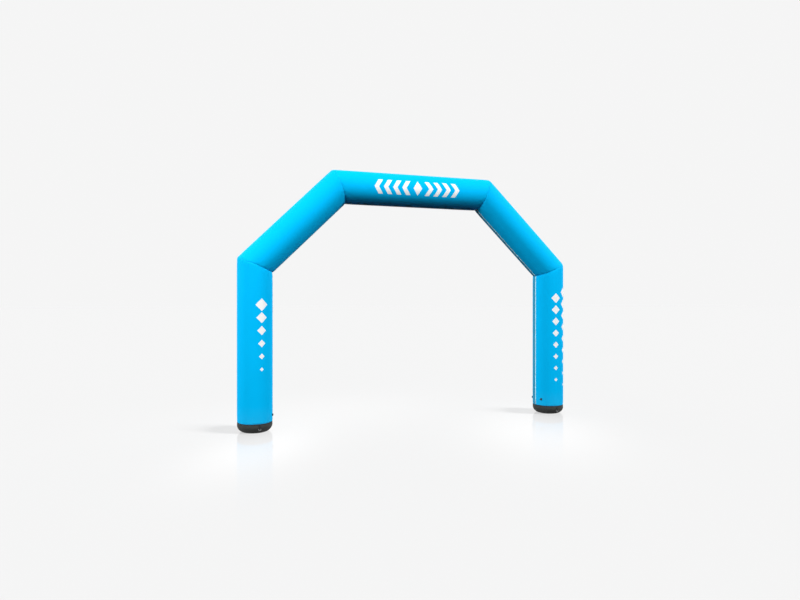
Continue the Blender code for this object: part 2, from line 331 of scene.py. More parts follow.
class ArchSewing(bpy.types.PropertyGroup):
    """Threads and their stitches"""

    cover_thread: colour_property("Cover thread", "Colour of the thread on the covers", (0.01, 0.40, 0.78))
    boot_thread: colour_property("Boot thread", "Colour of the thread on the boots", (0.07, 0.075, 0.08))
    seam_pitch: length_property("Seam stitch", "Distance from one stitch to the next on a seam", 0.0050, 0.02)
    thread: length_property("Thread", "Thickness of the thread", 0.0009, 0.005)


class ArchFittings(bpy.types.PropertyGroup):
    """Zip, valves, tabs and rings"""

    zip_white: colour_property("Zip", "Colour of the zip's tape and teeth", (0.68, 0.98, 1.0))
    plastic: colour_property("Valve plastic", "Colour of the valves", (0.014, 0.016, 0.018))
    webbing: colour_property("Webbing", "Colour of the ring tabs", (0.017, 0.018, 0.020))
    steel: colour_property("Steel", "Colour of the rings and the slider", (0.36, 0.37, 0.38))
    tooth_pitch: length_property("Tooth pitch", "Distance from one zip tooth to the next", 0.0032, 0.02)


class ArchStage(bpy.types.PropertyGroup):
    """Floor, light and camera"""

    backdrop: number_property("Backdrop", "Brightness behind the arch", 0.915, 1.0)
    key_power: power_property("Key light", "Power of the soft light on the left", 842.0)
    fill_power: power_property("Fill light", "Power of the soft light on the right", 3243.0)
    light_size: length_property("Light size", "Side of each soft light", 3.0, 20.0)
    lens: number_property("Lens", "Focal length of the camera", 25.614, 500.0, least=1.0, unit="CAMERA")


# Shader values


def adds_node(operation, swapped=False):
    """A method of Shade that adds a Math node of this operation."""

    def method(self, other):
        return self.nodes.math(operation, *((other, self) if swapped else (self, other)))

    return method


class Shade:
    """A socket of a node tree as a value, on which arithmetic adds Math nodes."""

    def __init__(self, nodes, socket):
        self.nodes = nodes
        self.socket = socket

    def __abs__(self):
        return self.nodes.math("ABSOLUTE", self)

    __add__ = __radd__ = adds_node("ADD")
    __sub__ = adds_node("SUBTRACT")
    __rsub__ = adds_node("SUBTRACT", swapped=True)
    __mul__ = __rmul__ = adds_node("MULTIPLY")
    __truediv__ = adds_node("DIVIDE")


class Nodes:
    """A node tree to which values, textures and mixes are added."""

    def __init__(self, tree):
        self.tree = tree

    def node(self, kind, values, output=0, **settings):
        """A new node of this type: its settings first, then the values or links of its sockets."""
        made = self.tree.nodes.new(kind)
        for name, value in settings.items():
            setattr(made, name, value)
        for key, value in values.items():
            if isinstance(value, Shade):
                self.tree.links.new(value.socket, made.inputs[key])
            else:
                made.inputs[key].default_value = value
        return Shade(self, made.outputs[output])

    def math(self, operation, *values, clamp=False):
        return self.node("ShaderNodeMath", dict(enumerate(values)), operation=operation, use_clamp=clamp)

    def clamp(self, value):
        """The value held between 0 and 1."""
        return self.math("ADD", value, 0.0, clamp=True)

    def mix(self, share, first, second):
        """One colour turning into another as the share goes from 0 to 1."""
        first, second = ((*c, 1.0) if isinstance(c, tuple) else c for c in (first, second))
        # The mix of colours has sockets 6 and 7 and output 2.
        values = {0: share, 6: first, 7: second}
        return self.node("ShaderNodeMix", values, output=2, data_type="RGBA", clamp_factor=True)

    def place(self):
        return self.node("ShaderNodeTexCoord", {}, output="Object")

    def surface(self):
        """The piece's own UV map, in metres round the piece and along it."""
        return self.node("ShaderNodeUVMap", {}, uv_map=UV_NAME)

    def parts(self, vector):
        """The three numbers of a vector."""
        first = self.node("ShaderNodeSeparateXYZ", {"Vector": vector})
        return [Shade(self, output) for output in first.socket.node.outputs]

    def scaled(self, vector, scale):
        return self.node("ShaderNodeMapping", {"Vector": vector, "Scale": scale})

    def noise(self, vector, scale, detail=2.0, rough=0.5):
        values = {"Vector": vector, "Scale": scale, "Detail": detail, "Roughness": rough}
        return self.node("ShaderNodeTexNoise", values)

    def wave(self, value, pitch):
        """A sine of this pitch along a value in metres."""
        return self.math("SINE", value * (FULL_TURN / pitch))

    def weave(self, across, along, pitch):
        return self.wave(across, pitch) * self.wave(along, pitch)

    def below(self, value, top, fade):
        """1 well below the top, falling to 0 at it over the fade."""
        return self.clamp((top - value) / fade)

    def inside(self, value, edge, soft=PRINT_EDGE):
        """1 where the value is below the edge and 0 above it, turning over a soft width."""
        return self.clamp((edge - value) / soft + 0.5)

    def bump(self, height, distance, strength, **normal):
        values = {"Height": height, "Distance": distance, "Strength": strength, **normal}
        return self.node("ShaderNodeBump", values)


class Finish(Nodes):
    """A material and the nodes behind its Principled shader."""

    def __init__(self, name, **constants):
        self.material = bpy.data.materials.new(name)
        self.material.use_nodes = True
        super().__init__(self.material.node_tree)
        self.shader = self.tree.nodes["Principled BSDF"]
        for socket, value in constants.items():
            self.shader.inputs[socket.replace("_", " ")].default_value = value

    def fed(self, **values):
        """The material, with these values linked to the sockets of its shader."""
        for socket, value in values.items():
            self.tree.links.new(value.socket, self.shader.inputs[socket.replace("_", " ")])
        return self.material


def tone(colour, share):
    """A colour made lighter or darker, as a plain tuple."""
    return tuple(min(1.0, part * share) for part in colour)


# Finishes


def cover_finish(name, colour, printed=None):
    """Matt polyester: a plain weave, soft uneven colour, a little dust above the boots, and printed ink where
    the mask says."""
    ink = tuple(bpy.context.scene.arch_print.ink)
    finish = Finish(name, Specular_IOR_Level=0.015)
    place = finish.place()
    surface = finish.surface()
    across, along = finish.parts(surface)[:2]
    broad = finish.noise(place, 1.7)
    yarns = finish.noise(finish.scaled(surface, (900.0, 40.0, 1.0)), 1.0, detail=1.0)
    cloth = finish.mix(broad, tone(colour, 0.965), tone(colour, 1.03))
    cloth = finish.mix(yarns * 0.16, cloth, tone(colour, 0.80))
    if printed:
        mask = printed(finish, across, place)
        cloth = finish.mix(mask, cloth, finish.mix(yarns * 0.5, ink, tone(ink, 0.93)))
    dust = finish.below(finish.parts(place)[2], 0.42, 0.30) * finish.noise(place, 9.0, detail=5.0)
    weave = finish.weave(across, along, bpy.context.scene.arch_fabric.yarn_pitch)
    slack = finish.noise(finish.scaled(surface, (1.0, 0.35, 1.0)), 9.0, detail=3.0)
    return finish.fed(
        Base_Color=finish.mix(dust * 0.05, cloth, DUST),
        Roughness=0.60 + 0.12 * yarns,
        Normal=finish.bump(weave, 0.00012, 0.35, Normal=finish.bump(slack, 0.0035, 0.10)),
    )


def chevron_mask(finish, across, place):
    """Chevrons on the front of the beam that point away from its middle, and a diamond between them."""
    sizes = bpy.context.scene.arch_print
    pitch = sizes.chevron_pitch
    rise = abs(across)
    reach = abs(finish.parts(place)[0]) + rise * CHEVRON_LEAN
    step = finish.math("MODULO", reach, pitch)
    bars = finish.inside(abs(step - 0.5 * pitch), 0.5 * CHEVRON_SHARE * pitch)
    row = finish.inside(reach, pitch + pitch * sizes.chevron_count) * (1.0 - finish.inside(reach, pitch))
    middle = finish.inside(reach, CHEVRON_SHARE * pitch)
    return finish.clamp(bars * row + middle) * finish.inside(rise, 0.5 * sizes.chevron_height)


def diamond_mask(finish, across, place, columns, pitch, heights, largest):
    """Diamonds in upright columns, every second column half a pitch higher, that shrink from the highest down
    to the lowest. Columns are counted from the front towards the outer side."""
    smallest = bpy.context.scene.arch_print.smallest_diamond
    low, high = heights
    height = finish.parts(place)[2]
    column = finish.math("ROUND", across / pitch)
    shift = finish.math("PINGPONG", column, 1.0) * (0.5 * pitch)
    row = finish.math("ROUND", (height - shift) / pitch)
    middle = row * pitch + shift
    share = finish.clamp((middle - low) / (high - low))
    size = smallest + share * (largest - smallest)
    apart = abs(across - column * pitch) + abs(height - middle)
    shape = finish.inside(apart, size * 0.5)
    halfway = 0.5 * (columns - 1)
    wide = finish.inside(abs(column - halfway), halfway + 0.5, 0.01)
    tall = finish.inside(abs(middle - 0.5 * (low + high)), 0.5 * (high - low), 0.01)
    return shape * wide * tall


def left_leg_mask(finish, across, place):
    """One column of diamonds on the left leg, a little towards the passage."""
    sizes = bpy.context.scene.arch_print
    pitch, largest = 0.95 * sizes.diamond_pitch, 1.1 * sizes.largest_diamond
    return diamond_mask(finish, across - LEFT_COLUMN, place, 1, pitch, LEFT_DIAMONDS, largest)


def right_leg_mask(finish, across, place):
    """Three columns of diamonds on the right leg, from its front to its outer side. The measure across the
    fabric breaks on the outer side, so it is carried past there."""
    sizes = bpy.context.scene.arch_print
    half_round = math.pi * TUBE_RADIUS
    across = finish.math("WRAP", across, half_round, -half_round)
    return diamond_mask(finish, across, place, 3, sizes.diamond_pitch, RIGHT_DIAMONDS, sizes.largest_diamond)


# What each cover has printed on it
PRINTS = {"beam_cover": chevron_mask, "left_leg_cover": left_leg_mask, "right_leg_cover": right_leg_mask}


def boot_finish():
    """Coated base cloth: dark and slightly shiny, its yarns showing through, dusty and scuffed near the
    floor."""
    fabric = bpy.context.scene.arch_fabric
    colour = tuple(fabric.boot)
    finish = Finish("boot_fabric", Specular_IOR_Level=0.15)
    place = finish.place()
    height = finish.parts(place)[2]
    broad = finish.noise(place, 7.0, detail=4.0)
    cloth = finish.mix(broad, tone(colour, 0.85), tone(colour, 1.18))
    weave = finish.weave(*finish.parts(finish.surface())[:2], fabric.boot_pitch)
    cloth = finish.mix(finish.clamp(weave) * 0.25, cloth, tone(colour, 1.5))
    scuffs = finish.noise(finish.scaled(place, (30.0, 30.0, 90.0)), 1.0, detail=6.0, rough=0.7)
    scuffs = finish.clamp((scuffs - 0.56) * 6.0) * finish.below(height, 0.075, 0.05)
    dust = finish.noise(place, 22.0, detail=5.0) * finish.below(height, 0.06, 0.06)
    cloth = finish.mix(dust * 0.30, cloth, tone(DUST, 0.40))
    return finish.fed(
        Base_Color=finish.mix(scuffs * 0.35, cloth, tone(DUST, 0.55)),
        Roughness=0.52 + 0.25 * broad + 0.15 * scuffs,
        Normal=finish.bump(weave, 0.00030, 0.45, Normal=finish.bump(broad, 0.002, 0.15)),
    )


def tape_finish(name, colour, pitch, depth=0.00025):
    """Narrow woven tape: ribs across it and finer yarns along it, a little uneven in colour."""
    finish = Finish(name, Specular_IOR_Level=0.15)
    across, along = finish.parts(finish.surface())[:2]
    uneven = finish.noise(finish.place(), 60.0, detail=3.0)
    ribs = finish.wave(along, pitch)
    yarns = finish.wave(across + ribs * (0.25 * pitch), 0.8 * pitch)
    cloth = finish.mix(uneven, tone(colour, 0.93), tone(colour, 1.08))
    return finish.fed(
        Base_Color=finish.mix(finish.clamp(0.0 - ribs * yarns) * 0.35, cloth, tone(colour, 0.6)),
        Roughness=0.75 + 0.12 * uneven,
        Normal=finish.bump(ribs * 0.6 + yarns * 0.4, depth, 0.6),
    )


def thread_finish(name, colour):
    """Twisted polyester thread, a little lighter and darker from stitch to stitch."""
    finish = Finish(name, Specular_IOR_Level=0.2)
    uneven = finish.noise(finish.place(), 240.0)
    shade = finish.mix(uneven, tone(colour, 0.75), tone(colour, 1.15))
    return finish.fed(Base_Color=shade, Roughness=0.55 + 0.2 * uneven)


def moulded_finish(name, colour, roughness, grain=0.00006):
    """Moulded plastic with a fine grain, rubbed lighter in places."""
    finish = Finish(name, Specular_IOR_Level=0.4)
    place = finish.place()
    rubbed = finish.clamp((finish.noise(place, 70.0, detail=4.0) - 0.5) * 3.0)
    return finish.fed(
        Base_Color=finish.mix(rubbed * 0.4, colour, tone(colour, 1.7)),
        Roughness=roughness + 0.18 * rubbed,
        Normal=finish.bump(finish.noise(place, 900.0), grain, 0.5),
    )


def steel_finish():
    """Grey zinc-plated steel, faintly brushed and spotted, made once."""
    known = bpy.data.materials.get("ring_steel")
    if known:
        return known
    colour = tuple(bpy.context.scene.arch_fittings.steel)
    finish = Finish("ring_steel", Metallic=1.0)
    place = finish.place()
    spots = finish.noise(place, 160.0, detail=4.0)
    brushed = finish.noise(finish.scaled(place, (300.0, 300.0, 3000.0)), 1.0)
    return finish.fed(
        Base_Color=finish.mix(finish.clamp((spots - 0.5) * 3.0) * 0.5, colour, tone(colour, 0.66)),
        Roughness=0.24 + 0.20 * spots,
        Normal=finish.bump(brushed, 0.00002, 0.3),
    )


def floor_finish():
    """Pale floor that glows a little in front of the feet, with a polish that fades away from them."""
    backdrop = bpy.context.scene.arch_stage.backdrop
    finish = Finish("studio_floor", Specular_IOR_Level=0.0, Emission_Strength=1.0)
    x, y = finish.parts(finish.place())[:2]

    def spot(middle, reach, slant=0.0):
        """1 at the middle, falling away as a bell curve over its reach across and along."""
        along = y - middle[1]
        across = (x - middle[0] - along * slant) / reach[0]
        along = along / reach[1]
        return finish.math("EXPONENT", (across * across + along * along) * -1.0)

    own = (1.0 - sum(FLOOR_SHARES)) * backdrop
    first, *others = (spot(middle, reach, GLOW_SLANT) * light for middle, reach, light in GLOWS)
    finish.fed(Emission_Color=finish.mix(sum(others, first), (own,) * 3, (own + 1.0,) * 3))
    lit = FLOOR_SHARES[0] * backdrop / FLOOR_LIGHT
    finish.shader.inputs["Base Color"].default_value = (lit, lit, lit, 1.0)
    reach = (POLISH_REACH, POLISH_REACH)
    shine = (spot((-LEG_X, 0.0), reach) + spot((LEG_X, 0.0), reach)) * POLISH
    gloss = {"Color": (1.0, 1.0, 1.0, 1.0), "Roughness": POLISH_ROUGHNESS}
    polish = finish.node("ShaderNodeBsdfGlossy", gloss)
    matt = Shade(finish, finish.shader.outputs["BSDF"])
    mixed = finish.node("ShaderNodeMixShader", {0: shine, 1: matt, 2: polish})
    finish.tree.links.new(mixed.socket, finish.tree.nodes["Material Output"].inputs["Surface"])
    return finish.material


# Meshes


def unit(vectors):
    return vectors / np.linalg.norm(vectors, axis=-1, keepdims=True)


def stacked(*parts):
    """Arrays spread to one shape and set side by side along a new last axis."""
    return np.stack(np.broadcast_arrays(*parts), axis=-1)


def round_angles(steps=AROUND):
    return np.arange(steps) * FULL_TURN / steps


def build_mesh(points, faces, corners=None, sharp_degrees=SHARP_EDGE):
    """A smooth-shaded mesh of points, of groups of faces and of a UV pair for each face corner. Where the
    faces enclose a negative volume, every one is turned over."""
    volume = sum(
        np.einsum("ij,ij->", points[group[:, 0]], np.cross(points[group[:, i]], points[group[:, i + 1]]))
        for group in faces
        for i in range(1, group.shape[1] - 1)
    )
    if volume < 0.0:
        faces = [group[:, ::-1] for group in faces]
        corners = corners and [group[:, ::-1] for group in corners]
    mesh = bpy.data.meshes.new("piece")
    mesh.from_pydata(points.tolist(), [], [face for group in faces for face in group.tolist()])
    if corners:
        flat = np.concatenate([group.reshape(-1, 2) for group in corners])
        mesh.uv_layers.new(name=UV_NAME).uv.foreach_set("vector", flat.astype(np.float32).ravel())
    mesh.shade_smooth()
    mesh.set_sharp_from_angle(angle=math.radians(sharp_degrees))
    return mesh


def skin(grid, surface=None, looped=False, sharp_degrees=SHARP_EDGE):
    """A closed mesh over a grid of points: each row is a ring of columns, rows follow one another, and the
    last row is joined to the first where it is looped, or else both end rows are closed by a fan. The surface
    holds a UV pair for each grid line, with one more column than the grid and, if looped, one more row."""
    rows, columns = grid.shape[:2]
    row = np.arange(rows if looped else rows - 1)[:, None, None]
    column = np.arange(columns)[None, :, None]
    down = row + np.array((0, 0, 1, 1))
    around = column + np.array((0, 1, 1, 0))
    faces = [((down % rows) * columns + around % columns).reshape(-1, 4)]
    corners = None if surface is None else [surface[down, around].reshape(-1, 4, 2)]
    points = grid.reshape(-1, 3)
    if not looped:
        near = np.arange(columns)
        far = np.roll(near, -1)
        last = (rows - 1) * columns
        middle = np.full(columns, len(points))
        fans = ((far, near, middle), (last + near, last + far, middle + 1))
        faces.append(np.concatenate([np.stack(fan, axis=1) for fan in fans]))
        points = np.concatenate((points, [grid[0].mean(0), grid[-1].mean(0)]))
        if surface is not None:
            first, final = (np.stack((line[:-1], line[1:]), axis=1) for line in (surface[0], surface[-1]))
            pairs = np.concatenate((first[:, ::-1], final))
            corners.append(np.concatenate((pairs, pairs.mean(axis=1, keepdims=True)), axis=1))
    return build_mesh(points, faces, corners, sharp_degrees)


def repeat(shape, faces, course):
    """A joined mesh of one small shape set at every place of a course: each point is the place plus the
    shape's three coordinates along the sideways, onward and outward directions there."""
    sideways = np.cross(course.along, course.out)
    axes = np.stack((sideways, course.along, course.out), axis=1)
    points = course.places[:, None, :] + np.einsum("pk,nkd->npd", shape, axes)
    first = (np.arange(len(course.places)) * len(shape))[:, None, None]
    return build_mesh(points.reshape(-1, 3), [(faces[None] + first).reshape(-1, faces.shape[1])])


def add_piece(name, mesh, finish, slot, *nodes):
    """The piece of this mesh, which rides on the arch's one body and stands for these nodes of the frame."""
    mesh.name = name
    mesh.materials.append(finish)
    piece = bpy.data.objects.new(name, mesh)
    bpy.context.scene.collection.objects.link(piece)
    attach(piece, "root")
    if nodes:
        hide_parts(*nodes)
    return piece


def joined(meshes):
    """One mesh of several that share their kind of UV map."""
    holders = [bpy.data.objects.new("part", mesh) for mesh in meshes]
    for holder in holders:
        bpy.context.scene.collection.objects.link(holder)
    with bpy.context.temp_override(active_object=holders[0], selected_editable_objects=holders):
        bpy.ops.object.join()
    mesh = holders[0].data
    bpy.data.objects.remove(holders[0])
    return mesh


def lengths_along(points):
    """How far each point is along a line of points."""
    steps = np.linalg.norm(np.diff(points, axis=0), axis=-1)
    return np.concatenate(([0.0], np.cumsum(steps)))


def even_course(points, out, pitch, closed=False):
    """Places at an even pitch along a line of points, each with the line's direction and the direction out of
    the surface there."""
    if closed:
        points, out = (np.concatenate((part, part[:1])) for part in (points, out))
    length = lengths_along(points)
    count = max(1, round(length[-1] / pitch))
    at = (np.arange(count) + 0.5) * length[-1] / count

    def sampled(where, values):
        return stacked(*(np.interp(where, length, column) for column in values.T))

    reach = 0.25 * length[-1] / count
    along = unit(sampled(at + reach, points) - sampled(at - reach, points))
    out = sampled(at, out)
    out = unit(out - along * np.sum(out * along, axis=1, keepdims=True))
    return Course(sampled(at, points), along, out)


def joined_course(courses):
    return Course(*(np.concatenate(part) for part in zip(*courses)))


def rod_faces(rings):
    """Faces of a rod of four-cornered rings, closed at both ends."""
    near = np.arange(4)
    ahead = (near + 1) % 4
    side = np.stack((near, ahead, ahead + 4, near + 4), axis=1)
    sides = (4 * np.arange(rings - 1)[:, None, None] + side).reshape(-1, 4)
    return np.concatenate((sides, (near[::-1], 4 * rings - 4 + near)))


def stitch_shape(pitch):
    """A stitch: a short thread that rises out of the fabric and dips back into it, its section a diamond."""
    thread = bpy.context.scene.arch_sewing.thread
    onward = np.array((-0.5, -0.3, 0.3, 0.5)) * STITCH_SHARE * pitch
    lift = np.array((-0.5, 0.35, 0.35, -0.5)) * thread
    section = 0.5 * thread * np.array(((-1.0, 0.0), (0.0, 1.0), (1.0, 0.0), (0.0, -1.0)))
    points = stacked(section[:, 0], onward[:, None], section[:, 1] + lift[:, None])
    return points.reshape(-1, 3), rod_faces(len(points))


def sew(name, stitch, courses, thread, slot):
    """A piece with a stitch at every place of these courses."""
    add_piece(name, repeat(*stitch, joined_course(courses)), thread, slot)


def closed_profile(across, top, under, skip):
    """A closed profile: across over its top, then back underneath with fewer points."""
    back = across[-2:0:-skip]
    return np.concatenate((across, back)), np.concatenate((top, np.full(len(back), under)))


# Tubes


def find_tubes():
    """The five tubes in order. A seam's plane halves the angle between neighbouring axes, or is level at a
    boot. Its slope is how far it moves along the axis for each metre towards the outer side."""
    corners = [np.array(point) for point in AXIS]
    ways = [unit(b - a) for a, b in zip(corners, corners[1:])]
    normals = [ways[0], *(unit(a + b) for a, b in zip(ways, ways[1:])), ways[-1]]
    made = []
    for i, along in enumerate(ways):
        outward = np.array((-along[1], along[0]))
        slopes = [-(outward @ normal) / (along @ normal) for normal in normals[i : i + 2]]
        made.append(Tube(corners[i], along, outward, np.linalg.norm(corners[i + 1] - corners[i]), *slopes))
    return made


TUBES = find_tubes()


def tube_points(tube, angles, radii, distances):
    """Points at these angles, radii and distances along the tube's axis, as an array of x, y and z."""
    out = radii * np.cos(angles)
    x, z = (tube.start[i] + distances * tube.along[i] + out * tube.outward[i] for i in range(2))
    return stacked(x, radii * np.sin(angles), z)


def tube_out(tube, angles):
    """Directions straight out of the tube at these angles."""
    out = np.cos(angles)
    return stacked(out * tube.outward[0], np.sin(angles), out * tube.outward[1])


def drawn_in(angles, from_seam):
    """The frame's own groove and puckers at a seam. Both die out exponentially, and the puckers are two
    cosines round the tube."""
    waves = sum(np.cos(n * angles + phase) for n, phase in PUCKERS)
    puckers = PUCKER_DEPTH * (0.5 - 0.25 * waves) * np.exp(-from_seam / PUCKER_REACH)
    return SEAM_GROOVE * np.exp(-from_seam / GROOVE_REACH) + puckers


def wrinkled_in(angles, from_seam, mitred):
    """How far the fabric lies inside the full radius near a seam: the frame's puckers and, on top of them,
    finer wrinkles. Each is a cosine round the tube that leans as it leaves the seam and dies out. It is
    deeper on the passage side of a knee, and deeper and shallower again three times round the tube."""
    passage = 1.0 + mitred * PASSAGE_SHARE * 0.5 * (1.0 - np.cos(angles))
    uneven = 0.65 + 0.35 * np.cos(3.0 * angles + 1.0)
    depth = drawn_in(angles, from_seam)
    for number, (count, deep, reach) in enumerate(WRINKLES):
        turn = count * (angles + WRINKLE_DRIFT * (-1) ** number * from_seam) + 1.7 * number
        depth = depth + deep * passage * uneven * (0.5 - 0.5 * np.cos(turn)) * np.exp(-from_seam / reach)
    return depth


def cover_radii(angles, from_start, from_end, index):
    """Radius of a cover at these angles and distances from its two seams. A hem turned up at a boot makes the
    cloth double there, with a soft step at its upper edge."""
    radii = TUBE_RADIUS
    for apart, at_boot in ((from_start, index == 0), (from_end, index == LAST_TUBE)):
        radii = radii - wrinkled_in(angles, apart, 0.0 if at_boot else 1.0)
        if at_boot:
            radii = radii + HEM_LIFT * np.clip((HEM_WIDTH - apart) / HEM_LIFT + 0.5, 0.0, 1.0)
    return radii


def cover_rows(index):
    """How far each row is along a cover, as a share of what lies between and an offset from its nearer seam:
    close together near both seams, and evenly spread between."""
    count = round(TUBES[index].length / ROW_STEP)
    shares = np.concatenate((np.zeros(len(SEAM_ROWS)), np.arange(1, count) / count, np.ones(len(SEAM_ROWS))))
    offsets = np.concatenate((SEAM_ROWS, np.full(count - 1, SEAM_ROWS[-1]), SEAM_ROWS[::-1]))
    return shares[:, None], offsets[:, None]


def along_tube(index, angles, rows, lift=0.0, gaps=(0.0, 0.0)):
    """Points on a cover, or lifted off it, at these angles and rows, from one gap to the other. A row near a
    seam is parallel to the seam's plane. Also returns how far each point is from the start."""
    tube = TUBES[index]
    shares, offsets = rows
    slopes = np.array((tube.start_slope, tube.end_slope))
    bounds = TUBE_RADIUS * np.cos(angles)[..., None] * slopes + (gaps[0], tube.length - gaps[1])
    span = bounds[..., 1] - bounds[..., 0]
    from_start = offsets + shares * (span - 2.0 * offsets)
    radii = cover_radii(angles, from_start + gaps[0], span - from_start + gaps[1], index) + lift
    out = radii * np.cos(angles)
    near = out * tube.start_slope + gaps[0] + offsets
    far = tube.length + out * tube.end_slope - gaps[1] - offsets
    return tube_points(tube, angles, radii, near + shares * (far - near)), from_start


def end_gaps(index, at_boot, at_knee):
    """The gaps that a piece leaves at the start and the end of a tube, at a boot's seam or at a knee's."""
    return (at_boot if index == 0 else at_knee, at_boot if index == LAST_TUBE else at_knee)


def cover_line(angle, lift, gaps, pitch):
    """A course along every tube at one angle, this far above the fabric, with places at an even pitch."""
    angles = np.array([angle])
    courses = []
    for index, tube in enumerate(TUBES):
        points = along_tube(index, angles, cover_rows(index), lift, end_gaps(index, *gaps))[0][:, 0]
        out = np.broadcast_to(tube_out(tube, angles), points.shape)
        courses.append(even_course(points, out, pitch))
    return joined_course(courses)


def make_covers():
    """Each tube's cover: its radius is the tube's less the wrinkles of both seams, at every angle and row."""
    colour = tuple(bpy.context.scene.arch_fabric.cover)
    across = (np.arange(AROUND + 1) * FULL_TURN / AROUND - FRONT) * TUBE_RADIUS
    for index, name in enumerate(COVERS):
        grid, from_start = along_tube(index, round_angles(), cover_rows(index), gaps=(PIECE_GAP, PIECE_GAP))
        along = np.concatenate((from_start, from_start[:, :1]), axis=1)
        finish = cover_finish(name + "_fabric", colour, PRINTS.get(name))
        cover = add_piece(name + "_fabric", skin(grid, stacked(across, along)), finish, "cover", name)


# Boots


def boot_radii(angles, heights, fine=True):
    """Radii of a boot: an upright wall, wrinkled at the seam, then a quarter circle in to the sole. Gathers
    are deepest halfway round the quarter circle, where the sine squared of twice its turn is 1. Without the
    fine wrinkles it is the frame's own boot."""
    turn = np.arcsin(1.0 - np.minimum(heights, BOOT_ROUND) / BOOT_ROUND)
    waves = sum(np.cos(n * angles - phase) for n, phase in PUCKERS)
    gathers = BOOT_GATHER * (0.5 - 0.25 * waves)
    seam = drawn_in(angles, BOOT_HEIGHT - heights) * np.cos(turn)
    if fine:
        seam = wrinkled_in(angles, BOOT_HEIGHT - heights, 0.0) * np.cos(turn)
        for number, (count, deep) in enumerate(BOOT_WRINKLES):
            gathers = gathers + deep * (0.5 - 0.5 * np.cos(count * angles + 2.3 * number))
    return TUBE_RADIUS - BOOT_ROUND * (1.0 - np.cos(turn)) - gathers * np.sin(2.0 * turn) ** 2 - seam


def level_points(side, angles, radii, heights):
    """Points round a leg's upright axis."""
    return stacked(side * LEG_X + radii * np.cos(angles), radii * np.sin(angles), heights)


def boot_grid(side):
    """Rows down the wall, over the rounded edge at even steps of its quarter circle, and in across the flat
    sole."""
    angles = round_angles()
    wall = BOOT_HEIGHT - PIECE_GAP - SEAM_ROWS[SEAM_ROWS < BOOT_HEIGHT - BOOT_ROUND - PIECE_GAP]
    edge = BOOT_ROUND * (1.0 - np.sin(np.linspace(0.0, 0.5 * math.pi, BOOT_EDGE_ROWS)))
    heights = np.concatenate((wall, edge, np.zeros(BOOT_SOLE_ROWS)))[:, None]
    inward = np.concatenate((np.ones(len(wall) + len(edge)), np.linspace(*SOLE_SHARES, BOOT_SOLE_ROWS)))
    return level_points(side, angles, boot_radii(angles, heights) * inward[:, None], heights)


def tape_grid(side):
    """The tape round a boot: its profile runs up its outer face, which is rounded at both edges as the root
    of 1 less the sixth power of the way from its middle, and down its inner one."""
    rise = np.linspace(0.0, 1.0, 9)
    crown = PIECE_GAP + TAPE_THICKNESS * np.sqrt(1.0 - np.abs(2.0 * rise - 1.0) ** 6)
    heights, lifts = closed_profile(TAPE_LOW + rise * (TAPE_HIGH - TAPE_LOW), crown, PIECE_GAP, 2)
    angles, heights = round_angles(), heights[:, None]
    return level_points(side, angles, boot_radii(angles, heights) + lifts[:, None], heights)


def ring_uv(grid):
    """UV pairs in metres: round the tube's full radius, and down the first column of the grid."""
    across = np.arange(grid.shape[1] + 1) * FULL_TURN / grid.shape[1] * TUBE_RADIUS
    return stacked(across[None, :], lengths_along(grid[:, 0])[:, None])


def make_boots():
    """The boots, and a narrow tape round the top of each."""
    cloth = boot_finish()
    tape = tape_finish("boot_tape", tone(tuple(bpy.context.scene.arch_fittings.webbing), 1.6), 0.0016)
    for name, side in BOOTS.items():
        grid = boot_grid(side)
        boot = add_piece(name + "_shell", skin(grid, ring_uv(grid)), cloth, "boot", name)
        grid = tape_grid(side)
        surface = ring_uv(np.concatenate((grid, grid[:1])))
        add_piece(name + "_tape", skin(grid, surface, looped=True), tape, "webbing")


# Sewing


def seam_course(index, share, offset):
    """Stitches round a tube at one distance from its first seam, or from its last where the share is 1."""
    angles = round_angles(AROUND_STITCHES)
    rows = (np.array([[share]]), np.array([[offset]]))
    points = along_tube(index, angles, rows, gaps=(PIECE_GAP, PIECE_GAP))[0][0]
    pitch = bpy.context.scene.arch_sewing.seam_pitch
    return even_course(points, tube_out(TUBES[index], angles), pitch, closed=True)


def make_stitching():
    """Rows of stitches beside every seam of the covers, and round the tapes of the boots."""
    sewing = bpy.context.scene.arch_sewing
    stitch = stitch_shape(sewing.seam_pitch)
    thread = thread_finish("cover_thread", tuple(sewing.cover_thread))
    rows = {knee: ((i, 1.0, KNEE_STITCH), (i + 1, 0.0, KNEE_STITCH)) for i, knee in enumerate(KNEES)}
    rows["left_hem"] = [(0, 0.0, offset) for offset in HEM_STITCHES]
    rows["right_hem"] = [(LAST_TUBE, 1.0, offset) for offset in HEM_STITCHES]
    for name, places in rows.items():
        sew(name + "_stitching", stitch, [seam_course(*place) for place in places], thread, "cover")
    thread = thread_finish("boot_thread", tuple(sewing.boot_thread))
    angles = round_angles(AROUND_STITCHES)
    out = level_points(0, angles, 1.0, 0.0)
    for name, side in BOOTS.items():
        courses = []
        for height in (TAPE_LOW + TAPE_STITCH, TAPE_HIGH - TAPE_STITCH):
            radii = boot_radii(angles, height) + PIECE_GAP + TAPE_THICKNESS
            points = level_points(side, angles, radii, height)
            courses.append(even_course(points, out, sewing.seam_pitch, closed=True))
        sew(name + "_tab_stitching", stitch, courses, thread, "webbing")


# Zip


